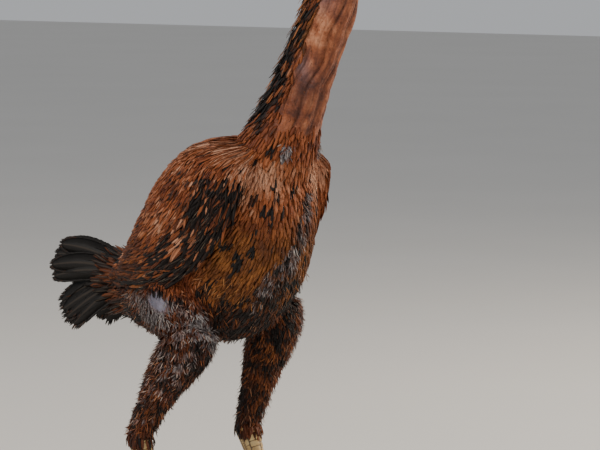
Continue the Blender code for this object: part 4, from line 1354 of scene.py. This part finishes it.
def wing_tier(name, side, first, last, row_step, column, wide, long, lift):
    """Rows of small feathers over the wing, one tier of coverts."""
    places = []
    step = math.degrees(column / WING_RADIUS)
    for i, u in enumerate(np.arange(first, last, row_step)):
        lower, upper = wing_edges(u)
        angles = np.arange(lower - 1 + step * 0.5 * (i % 2), upper + 4, step)
        u_row = u + RANDOM.normal(0, 0.006, len(angles))
        places.append(np.stack([u_row, angles + RANDOM.normal(0, 0.6, len(angles))], 1))
    roots = np.concatenate(places)
    count = len(roots)
    u, angle = roots.T
    lengths = long * RANDOM.uniform(0.8, 1.2, count) * (0.75 + 0.45 * u) / WING_LENGTH
    lower, upper = wing_edges(u)
    follow = (wing_edges(u + lengths)[0] - lower) * np.clip((upper - angle) / (upper - lower), 0, 1)
    tips = roots + np.stack([lengths, follow + RANDOM.normal(-1.5, 2.5, count)], 1)
    ruffle = RANDOM.uniform(0.7, 1.35, (count, 1))
    above = 0.0014 * slope(5, 45, roots[:, 1:]) * slope(0.25, 0.50, roots[:, :1])
    rise = above + lift * ruffle * (VANE_SHARES**0.7) - 0.0012 * (1 - VANE_SHARES) ** 2
    spine, out = wing_vanes(side, roots, tips, rise)
    marks, band = wing_marks(u, angle, spine[:, 2])
    vary(marks, TONE, 0.14)
    marks[:, DARK] = marks[:, DARK] * (1 - 0.75 * RANDOM.random(count) ** 3)
    marks[:, DARK] = np.maximum(marks[:, DARK], 0.62 * (RANDOM.random(count) < 0.09))
    vary(marks, DARK, 0.10)
    half = half_widths(wide, VANE_WIDTHS, count, 0.55, 1.2)
    unwrap = np.stack([u * 0.9 + 0.05, (angle + 20) / 105], 1)
    shaft = band * RANDOM.random(count) ** 9
    feather_piece(name, spine, out, half, 0.00018, marks, unwrap, shaft)


def make_wing(name, side):
    """One folded wing: its core, quills, edge feathers and both tiers of coverts."""
    core = to_mesh("wing_core", *wing_core(side))
    set_plain_marks(core, (0.30, 0, 0.25, 0.4))
    to_object("wing_core_" + name, core, PLUMAGE, ["wing_" + name])

    roots, spine, out, width = wing_quills(side)
    count = len(roots)
    half = half_widths(width, LONG_WIDTHS, count, 0.93, 1.05)
    marks, _ = wing_marks(roots[:, 0], roots[:, 1], spine[:, 5])
    marks[:, DARK] = np.clip(marks[:, DARK] * 0.3 + 0.30, 0, 1)
    marks[:, TONE] -= 0.15
    unwrap = np.stack([np.linspace(0.05, 0.95, count), np.full(count, 0.5)], 1)
    feather_piece("quills_" + name, spine, out, half, 0.0004, marks, unwrap, 0.08)

    wing_edge_feathers(name, side)
    for tier, sizes in TIERS.items():
        wing_tier(tier + name, side, *sizes)


# Tail, rump and neck feathers

# Pitch in degrees and length: the upper half of the fan, then the lower half
TAIL_FEATHERS = [(19, 0.110), (13, 0.112), (7, 0.112), (1, 0.106)]
TAIL_FEATHERS += [(-14, 0.098), (-20, 0.096), (-26, 0.093), (-33, 0.086)]
TAIL_WIDTH = 0.026
# The fleshy root of the tail, a body's stations
TAIL_CORE = [
    (-0.108, 0, 0.268, 0.024, 0.024, 0.026),
    (-0.128, 0, 0.268, 0.020, 0.021, 0.023),
    (-0.148, 0, 0.268, 0.012, 0.015, 0.016),
    (-0.164, 0, 0.268, 0.004, 0.007, 0.007),
]
BARB_SHARES = np.array((0, 0.5, 1.0))
BARB_HALF = np.array((0.00070, 0.00060, 0.00015))


def fringe(spine, out, half, count, ragged):
    """Barbs along both edges of vanes: slivers that point backwards; on ragged vanes out as well, with gaps.

    Returns their spines, ways out and half widths, whose feather each is on and how far along it.
    """
    ahead = unit(np.gradient(spine, axis=1))
    across = unit(np.cross(out, ahead))
    made = []
    for feather, frayed in enumerate(ragged):
        for sign in (-1, 1):
            share = np.clip(np.linspace(0.06, 1.0, count) + RANDOM.normal(0, 0.006, count), 0, 1)
            share = share[RANDOM.random(count) > 0.5 * frayed * share**2]
            row = through(np.concatenate([spine, out, ahead, across], -1)[feather], share)
            wide = through(half[feather], share)[:, 0 if sign > 0 else 1]
            start = row[:, :3] + sign * row[:, 9:12] * (wide * 0.80)[:, None]
            lean = np.radians(13 + 17 * frayed - (8 + 10 * frayed) * share)[:, None]
            way = row[:, 6:9] * np.cos(lean) + sign * row[:, 9:12] * np.sin(lean)
            size = (0.0026 + wide * 0.26) * RANDOM.uniform(0.7, 1.25, len(share))
            size = size * (1 + 0.8 * frayed * share**3)
            barbs = rays(start, way, size, BARB_SHARES)
            barb_out = np.repeat(row[:, None, 3:6], 3, 1)
            barb_half = np.tile(BARB_HALF[:, None], (len(share), 1, 2))
            made.append((barbs, barb_out, barb_half, np.full(len(share), feather), share))
    return [np.concatenate(columns) for columns in zip(*made)]


def tail_spines():
    """The main tail feathers, the right half of the fan and then the left."""
    spine, out = [], []
    for side in (-1, 1):
        for i, (pitch, length) in enumerate(TAIL_FEATHERS):
            tilt = math.radians(pitch)
            ahead = np.array((-math.cos(tilt), side * (0.06 + 0.010 * i), math.sin(tilt)))
            root = TAIL_ROOT + np.array((0, side * (0.003 + 0.0017 * i), 0))
            line = root + ahead * (length * LONG_SHARES)[:, None]
            line[:, 2] += 0.010 * np.sin(math.pi * LONG_SHARES) * math.cos(tilt)
            line[:, 1] += side * RANDOM.uniform(-0.002, 0.002) * LONG_SHARES
            spine.append(line)
            out.append(np.tile(unit(np.array((0, side, 0.30))), (len(LONG_SHARES), 1)))
    return np.array(spine), np.array(out)


def make_tail():
    """The tail's root, its main feathers with their worn barbs, and the coverts over the root."""
    core = Body(TAIL_CORE)
    mesh = to_mesh("tail_root", *core.mesh(14, 24))
    set_plain_marks(mesh, (0.8, 0, 0.2, 0))
    to_object("tail_root", mesh, PLUMAGE, ["tail"])

    spine, out = tail_spines()
    count = len(spine)
    half = half_widths(TAIL_WIDTH * 0.94, LONG_WIDTHS, count, 0.93, 1.05)
    half[:, -1] *= 2.5
    marks = np.tile((1.0, 0, 0.25, 1.0), (count, 1))
    unwrap = np.stack([np.linspace(0.05, 0.95, count), np.full(count, 0.5)], 1)
    feather_piece("tail_vanes", spine, out, half, 0.0005, marks, unwrap, 0.05)
    full = TAIL_WIDTH / 2 * np.tile(LONG_WIDTHS[:, None], (count, 1, 2))
    ragged = np.tile(np.repeat((0.12, 1.0), len(TAIL_FEATHERS) // 2), 2)
    barbs, barb_out, barb_half, owner, place = fringe(spine, out, full, 110, ragged)
    marks = np.tile((1.0, 0, 0.3, 1.0), (len(place), 1))
    marks[:, DARK] = np.clip(1.02 - 0.5 * (place > 0.7) * RANDOM.random(len(place)) ** 2, 0, 1)
    unwrap = np.stack([0.05 + 0.9 * owner / count, 0.05 + 0.9 * place], 1)
    feather_piece("tail_barbs", barbs, barb_out, barb_half, 0.0002, marks, unwrap)

    share, angle = rooted(core, 0.0042, last=0.80)
    count = len(share)
    roots = core.skin(share, angle)
    out = unit(roots - through(core.rows, share)[:, :3])
    ways = unit(out * (0, 0.16, 0.34) - (1, 0, 0) + RANDOM.normal(0, 0.05, (count, 3)))
    spine, out, half = grow(TAIL_COVERT, roots, out, ways)
    marks = np.tile((0.5, 0, 0.26, 0.5), (count, 1))
    marks[:, DARK] = 0.60 + 0.5 * grain(roots, 0.012, 32)
    vary(marks, DARK, 0.15)
    unwrap, shaft = unrolled(share, angle), 0.5 * RANDOM.random(count) ** 3
    feather_piece("tail_coverts", spine, out, half, 0.0003, marks, unwrap, shaft)


def rump_feathers(ground):
    """Longer, pointed feathers over the rump and round the root of the tail."""
    share, angle = rooted(torso, 0.0058, first=0.46, last=0.93, angles=(20, 160))
    keep = RANDOM.random(len(share)) < slope(0.42, 0.66, share)
    share, angle = share[keep], angle[keep]
    roots, out, _ = ground.nearest(torso.skin(share, angle, -COAT_DEPTH))
    spine, out, half = grow(RUMP, roots, out, ground.ways(roots, out, 0.15))
    marks = markings(roots)
    copper = 0.30 + 0.55 * grain(roots, 0.012, 31) + 0.6 * slope(0.78, 0.92, share)
    copper += RANDOM.normal(0, 0.10, len(roots))
    marks[:, DARK] = np.clip(copper + (marks[:, DARK] - copper) * slope(0.74, 0.56, share), 0, 1)
    marks[:, DOWNY] = 0
    feather_piece("rump_feathers", spine, out, half, 0.00018, marks, unrolled(share, angle))


def neck_cover(places):
    """How much of the neck is feathered: a scruffy strip down the nape, and all of it at the base."""
    x, _, z = places.T
    back = slope(0.004, -0.010, x - (0.112 + (z - 0.517) * 0.44))
    base = slope(0.452, 0.425, z + 0.12 * (x - 0.08))
    patchy = slope(-0.45, 0.15, grain(places, 0.012, 41))
    return np.clip(back * (0.35 + 0.65 * patchy) + base, 0, 1)


def make_neck_feathers(ground):
    """The short coat at the base of the neck and up the nape, and the hackle over it."""
    size = (0.0036, 0.016, 0.0044)
    body_feathers("coat_neck", ground, neck, size, cover=neck_cover, first=0.02)
    share, angle = rooted(neck, 0.0052, first=0.04, last=0.74, angles=(25, 155))
    roots, out, _ = ground.nearest(neck.skin(share, angle, -NECK_COAT))
    keep = RANDOM.random(len(share)) < neck_cover(roots)
    share, angle, roots, out = share[keep], angle[keep], roots[keep], out[keep]
    ways = ground.ways(roots, out, 0.22)
    marks = markings(roots)
    spine, out, half = grow(HACKLE, roots, out, ways, ground)
    marks[:, DARK] = 0.66 + 0.9 * grain(roots, 0.018, 42)
    vary(marks, DARK, 0.16)
    marks[:, DARK] = np.clip(marks[:, DARK] - 0.28 * slope(0.525, 0.550, roots[:, 2]), 0, 1)
    marks[:, TONE:] = (0.72, 0.6)
    feather_piece("hackle", spine, out, half, 0.00018, marks, unrolled(share, angle))


# Head: eyes, lids and beak

PUPIL = 0.0021
IRIS = 0.0050
LID_OPENING = 0.0045


def eye_look(side):
    """A pearl iris that darkens to its rim, round a black pupil, under a wet clear front."""
    look = Look("eye", Specular_IOR_Level=0.6, Coat_Weight=1.0, Coat_Roughness=0.02)
    centre = (EYE_X + CENTRE_X, side * EYE_SIDE, EYE_Z)
    flat = look.vector("MULTIPLY", look.vector("SUBTRACT", look.place(), centre), (1, 0, 1))
    away = look.vector("LENGTH", flat, output="Value")
    share = away * (1 / IRIS) + (look.noise(flat, 0.0006, 3) - 0.5) * 0.12
    rings = ((0.42, (0.46, 0.15, 0.03)), (0.62, (0.60, 0.33, 0.10)), (0.88, (0.22, 0.05, 0.015)))
    iris = look.ramp(share, *rings)
    colour = look.mix(look.rise(away, PUPIL + 0.0001, PUPIL - 0.0001), iris, (0.004, 0.003, 0.003))
    return look.finish(colour, 0.08)


def make_eye(name, side):
    """One eyeball, with the front swollen a little as a cornea."""
    centre = np.array((EYE_X, side * EYE_SIDE, EYE_Z))
    places, groups = ball(centre, (EYE_RADIUS,) * 3, rings=32, sides=48)
    reach = (places - centre) / EYE_RADIUS
    front = slope(0.80, 0.97, reach[:, 1] * side)
    places = centre + reach * EYE_RADIUS * (1 + 0.05 * front)[:, None]
    to_object("eyeball_" + name, to_mesh("eyeball", places, groups), eye_look(side), ["eye_" + name])


def lid_form(side):
    """Both lids of one eye as one soft ring that follows the eyeball, with its corners drawn out."""
    around, profile = 56, 12
    turn = np.arange(around) / around * 2 * math.pi
    stretch = 1 + 0.16 * np.abs(np.cos(turn)) ** 6
    open_radius = LID_OPENING * stretch * (1 - 0.12 * (np.sin(turn) > 0) * np.sin(turn))
    bead = np.arange(profile) / profile * 2 * math.pi
    radius = open_radius[:, None] + 0.0011 + 0.0011 * np.cos(bead)[None, :]
    on_ball = np.sqrt(np.maximum((EYE_RADIUS + 0.0003) ** 2 - np.minimum(radius, EYE_RADIUS) ** 2, 0))
    depth = on_ball * 0.55 + 0.0029 + 0.00095 * np.sin(bead)[None, :]
    x = EYE_X + radius * np.cos(turn)[:, None]
    z = EYE_Z + radius * np.sin(turn)[:, None]
    places = np.stack([x, side * (EYE_SIDE + depth), z], -1).reshape(-1, 3)
    return places, [grid_faces(around, profile, ring=True, turned=side < 0)]


def make_lids():
    mesh = to_mesh("lids", *join([lid_form(-1), lid_form(1)]))
    to_object("lids", mesh, LID_SKIN)


def swollen(places, centre, radii):
    """1 at a centre on the head, fading to 0 over the radii of a soft ball."""
    return np.exp(-(((places - head_place(*centre)) / radii) ** 2).sum(1))


def make_beak():
    """Both halves of the beak; the upper one has nostrils under a flap and fine lines of growth."""
    places, groups = head_body(BEAK_UPPER).mesh(48, 40)
    for side in (-1, 1):
        hollow = swollen(places, (0.0252, side * 0.0066, 0.0014), (0.0024, 0.0026, 0.0011))
        flap = swollen(places, (0.0248, side * 0.0058, 0.0036), (0.0036, 0.0026, 0.0016))
        places[:, 1] += side * (0.0008 * flap - 0.0026 * hollow)
    reach = (places[:, 0] - head_place(0.0185, 0, 0)[0]) / (0.0187 * HEAD)
    places[:, 2] += np.sin(reach * 60) * 0.00006 * slope(0.9, 0.2, reach)
    to_object("upper_beak", to_mesh("upper_beak", places, groups), HORN, ["beak_upper"])
    lower = to_mesh("lower_beak", *head_body(BEAK_LOWER).mesh(36, 32))
    to_object("lower_beak", lower, HORN, ["beak_lower"])


# Scaly shanks, feet and claws

# The big plates: an axis of the way out, and the values between which they take over from the small ones
FRONT_PLATES = (0, -0.05, 0.30)
TOP_PLATES = (2, 0.15, 0.45)
TOE_PLATE = 0.0042


def scaly(body, grid, top, plates, height, first_angle):
    """A limb's mesh with plates raised in it, and how high each point is on its plate.

    grid is its rings and sides, plates the rows and columns of the big plates, from first_angle on.
    """
    steps, sides = grid
    rows, columns = plates
    axis, low, high = top
    places, groups = body.mesh(steps, sides)
    angles = np.arange(sides) / sides * 2 * math.pi
    share, angle = np.broadcast_arrays(np.linspace(0, 1, steps)[:, None], angles[None, :])
    around = (np.degrees(angle) - first_angle + 180) % 360 - 180
    rings = places[: steps * sides].reshape(steps, sides, 3)
    out = unit(rings - through(body.rows, share)[..., :3])
    big = slope(low, high, out[..., axis])

    def raised(cell_rows, width, shift):
        column = np.floor(around / width + shift)
        over = (around / width + shift) % 1
        row = (share * cell_rows + 0.5 * (column % 2)) % 1
        edges = (1 - np.abs(2 * over - 1) ** 5) * (1 - np.abs(2 * row - 1) ** 6)
        return edges * (0.55 + 0.45 * row)

    large = raised(rows, 130 / columns, 0.5 * (columns % 2))
    small = raised(rows * 2.6, 24, 0.0) * 0.6
    lifted = big * large + (1 - big) * small
    rings += out * ((lifted - 0.4) * height)[..., None]
    places[: steps * sides] = rings.reshape(-1, 3)
    return places, groups, np.concatenate([lifted.ravel(), (0.5, 0.5)])


def scaly_object(name, places, groups, groove, replaced):
    mesh = to_mesh(name, places, groups)
    set_values(mesh, "groove", groove)
    to_object(name, mesh, SCALES, [replaced])


def toe_line(side, toe):
    """Where the toes meet on the floor, and the way that one of them points."""
    heading = math.radians(TOES[toe][0]) * side
    pad = np.array((PAD[side][0], side * PAD[side][1], 0))
    return pad, np.array((math.cos(heading), math.sin(heading), 0))


def toe_body(side, toe):
    _, length, radius = TOES[toe]
    pad, ahead = toe_line(side, toe)
    rows = []
    for share in np.linspace(0, 1, 25):
        size = radius * (1 - 0.42 * share)
        size *= math.sqrt(max(1 - (max(share - 0.86, 0) / 0.15) ** 2, 0.05))
        x, y, _ = pad + ahead * (0.004 + length * share)
        z = size * 0.92 + 0.0035 * math.sin(math.pi * share) * (1 - share)
        size *= 1 + 0.07 * math.cos(6 * math.pi * share)
        rows.append((x, y, z, size, size, size * 0.92))
    return Body(rows)


def claw_body(side, toe):
    _, length, radius = TOES[toe]
    pad, ahead = toe_line(side, toe)
    end = pad + ahead * (0.004 + length)
    rows = []
    for share in np.linspace(0, 1, 9):
        size = radius * (0.44 - 0.37 * share)
        x, y, _ = end + ahead * (CLAW_LENGTH * share - 0.003)
        z = radius * 0.62 * math.cos(0.5 * math.pi * share**1.3) + size + 0.0002
        rows.append((x, y, z, size * 0.75, size, size))
    return Body(rows)


def spur_body(shank, side):
    """The low knob on the inner rear of the shank."""
    root = shank.skin(0.70, math.radians(90 + side * 42))
    out = unit(root - through(shank.rows, np.array(0.70))[:3])
    rows = []
    for share in np.linspace(0, 1, 7):
        size = 0.0042 * (1 - 0.78 * share)
        rows.append((*(root + out * (SPUR_LENGTH * share - 0.003)), size, size, size))
    return Body(rows)


def make_foot(name, side):
    """One shank with its spur knob, the toes with their pad, and the claws."""
    shank = limb(HOCK[side], PAD[side], side, SHANK_RADII, deep=1.06)
    form = scaly(shank, (220, 84), FRONT_PLATES, (17, 2), 0.0011, -90)
    scaly_object("scaly_shank_" + name, *form, "shank_" + name)
    forms, grooves = [], []
    for toe, (_, length, _) in TOES.items():
        plates = (round(length / TOE_PLATE), 1)
        middle = 90 if toe == "hind" else -90
        *form, groove = scaly(toe_body(side, toe), (120, 56), TOP_PLATES, plates, 0.0008, middle)
        forms.append(form)
        grooves.append(groove)
    x, y, _ = PAD[side]
    places, groups = ball((x + 0.001, side * y, 0.0095), (0.0125, 0.0120, 0.0118), rings=48, sides=64)
    bumps = grain(places, 0.0022, 51)
    forms.append((places + unit(places - (x, side * y, 0.0095)) * (bumps * 0.0004)[:, None], groups))
    grooves.append(0.5 + bumps * 0.6)
    places, groups = join(forms)
    places[:, 2] = np.maximum(places[:, 2], 0)
    scaly_object("scaly_foot_" + name, places, groups, np.concatenate(grooves), "foot_" + name)
    for toe in TOES:
        mesh = to_mesh("curved_claw", *claw_body(side, toe).mesh(20, 20))
        claw = "claw_" + toe + "_" + name
        to_object("curved_" + claw, mesh, CLAW_HORN, [claw])
    mesh = to_mesh("spur_knob", *spur_body(shank, side).mesh(20, 24))
    to_object("spur_knob_" + name, mesh, CLAW_HORN, ["spur_" + name])


# Feathers that fill what the rows leave bare, and soft down


def trunk_unwrap(places):
    """Where places lie on a bake map of the trunk: round it, and along it and down the legs."""
    turn = np.arctan2(places[:, 2] - 0.30 + 0.5 * places[:, 0], places[:, 1]) / (2 * math.pi) + 0.5
    along = (0.07 - places[:, 0] + 0.6 * (0.42 - places[:, 2])) / 0.42
    return np.stack([np.clip(turn, 0, 1), np.clip(along, 0, 1)], 1) * 0.98 + 0.01


def small_feathers(name, ground, roots, kind, lean, marks):
    """Small feathers of one kind from roots on the skin, leaning to either side by about lean."""
    roots, out, _ = ground.nearest(roots)
    spine, out, half = grow(kind, roots, out, ground.ways(roots, out, lean), ground)
    feather_piece(name, spine, out, half, kind.width * 0.06, marks, trunk_unwrap(roots))


def open_coat(places):
    """How much each place needs a coat: not on bare skin, and not under the folded wings."""
    y, z = np.abs(places[:, 1]), places[:, 2]
    hidden = slope(0.050, 0.058, y) * slope(0.285, 0.30, z)
    return (1 - bareness(places)[:, 0] - hidden) * body_cover(places)


def fill_gaps(ground):
    """Feathers wherever the rows left more than a few millimetres of feathered skin bare."""
    planted = np.concatenate(ground.planted)
    tree = kdtree.KDTree(len(planted))
    for i, root in enumerate(planted):
        tree.insert(root, i)
    tree.balance()
    spots = ground.samples(16000, open_coat)
    bare = [tree.find(spot)[2] > 0.0030 for spot in spots]
    roots = spots[bare][:5000]
    small_feathers("coat_between", ground, roots, BETWEEN, 0.15, markings(roots))


def downy(places):
    """How thickly down grows at each place: on the downy marks, with some over the belly and legs."""
    stray = 0.12 * slope(0.30, 0.27, places[:, 2])
    vent = 1 - np.clip(marked(places, VENT_BARE) - 0.35, 0, 1)
    return (slope(0.30, 0.60, markings(places)[:, DOWNY]) + stray) * vent


def make_down(ground):
    roots = ground.samples(6600, downy)
    marks = markings(roots)
    marks[:, TONE] = np.clip(RANDOM.normal(0.50, 0.25, len(roots)) - 0.20 * on_keel(roots), 0, 1)
    small_feathers("down", ground, roots, FLUFF, 0.55, marks)


def crown(places):
    """1 on the back of the head behind the comb and above the ears."""
    x, _, z = places.T
    behind = slope(0.160, 0.148, x + 0.35 * (z - 0.62))
    return behind * slope(0.590, 0.600, z) * slope(0.610, 0.622, z + 0.9 * (0.152 - x))


def at_ears(places):
    """1 just above and in front of the ears' openings."""
    ear = head_place(-0.0150, 0, -0.0025)
    gap = (places[:, 0] - ear[0]) ** 2 + (places[:, 2] - ear[2]) ** 2
    return np.exp(-gap / 0.0052**2) * (np.abs(places[:, 1]) > 0.010)


def on_face(places):
    """1 on the bare face between the ear and the beak, below the comb."""
    x, _, z = places.T
    return slope(0.600, 0.604, z) * slope(0.120, 0.135, x) * slope(0.178, 0.172, x) * (z < 0.634)


def on_throat(places):
    """1 on the neck below the head."""
    return on_neck(places) * slope(0.60, 0.58, places[:, 2])


# Where they grow, how many, what kind, how black, how light and how far they lean
HEAD_FEATHERS = {
    "coat_crown": (crown, 1500, CROWN, 0.70, 0.5, 0.2),
    "ear_tufts": (at_ears, 260, EAR_TUFT, 0.60, 0.6, 0.25),
    "face_bristles": (on_face, 260, FACE_BRISTLE, 0.45, 0.5, 0.3),
    "neck_bristles": (on_throat, 420, NECK_BRISTLE, 0.60, 0.6, 0.3),
}


def make_head_feathers(ground):
    """Short feathers over the back of the head, a tuft over each ear and sparse bristles."""
    for name, (where, count, kind, dark, tone, lean) in HEAD_FEATHERS.items():
        roots = ground.samples(count, where)
        marks = np.tile((dark, 0, tone, 0), (count, 1))
        if name == "coat_crown":
            marks[:, DARK] = np.clip(dark + 0.5 * grain(roots, 0.010, 61), 0, 1)
        elif name == "neck_bristles":
            marks[::3, DARK] = 0.1
        small_feathers(name, ground, roots, kind, lean, marks)


# Camera, light and floor

FLOOR_REACH = 12
LAMP_TARGET = Vector((0, 0, 0.33))
# Place, size, power and colour
LAMPS = {
    "key": ((-0.4, -2.6, 2.6), 1.4, 85, (1.0, 0.95, 0.88)),
    "fill": ((2.6, -1.2, 1.2), 2.0, 16, (0.92, 0.96, 1.0)),
    "rim": ((1.3, 2.2, 1.6), 1.0, 80, (1.0, 0.88, 0.72)),
}


def make_studio():
    """A pale floor, a soft sky and three round lamps."""
    look = Look("floor", Specular_IOR_Level=0.2)
    cloud = look.noise(look.place(), 0.5, 2)
    mesh = bpy.data.meshes.new("floor")
    corners = [(FLOOR_REACH * x, FLOOR_REACH * y, 0) for x, y in ((-1, -1), (1, -1), (1, 1), (-1, 1))]
    mesh.from_pydata(corners, [], [(0, 1, 2, 3)])
    mesh.materials.append(look.finish(look.mix(cloud, (0.60, 0.585, 0.56), (0.64, 0.625, 0.60)), 0.9))
    floor = bpy.data.objects.new("floor", mesh)
    bpy.context.collection.objects.link(floor)
    world = bpy.data.worlds.new("studio")
    world.use_nodes = True
    sky = world.node_tree.nodes["Background"]
    sky.inputs["Color"].default_value = (0.80, 0.82, 0.85, 1)
    sky.inputs["Strength"].default_value = 0.55
    bpy.context.scene.world = world
    for name, (place, size, power, colour) in LAMPS.items():
        lamp = bpy.data.lights.new(name, "AREA")
        lamp.shape = "DISK"
        lamp.size = size
        lamp.energy = power
        lamp.color = colour
        made = bpy.data.objects.new(name, lamp)
        made.location = place
        made.rotation_euler = (LAMP_TARGET - Vector(place)).to_track_quat("-Z", "Y").to_euler()
        bpy.context.collection.objects.link(made)


def make_camera():
    """The photo's view: from the right and ahead, a little above the back."""
    azimuth, elevation, distance = math.radians(37), math.radians(5), 4.0
    target = Vector((0.0645, 0.045, 0.335))
    reach = Vector((math.sin(azimuth), -math.cos(azimuth), 0)) * math.cos(elevation)
    reach.z = math.sin(elevation)
    camera = bpy.data.cameras.new("camera")
    camera.sensor_width = 36
    camera.lens = 230.4
    made = bpy.data.objects.new("camera", camera)
    made.location = target + reach * distance
    made.rotation_euler = (-reach).to_track_quat("-Z", "Y").to_euler()
    bpy.context.collection.objects.link(made)
    bpy.context.scene.camera = made


make_studio()
make_camera()
ground = Ground(*make_skin())
make_coat(ground)
hock_cuffs()
make_neck_feathers(ground)
rump_feathers(ground)
fill_gaps(ground)
make_down(ground)
make_head_feathers(ground)
make_tail()
make_lids()
make_beak()
for name, side in SIDES.items():
    make_wing(name, side)
    make_eye(name, side)
    make_foot(name, side)
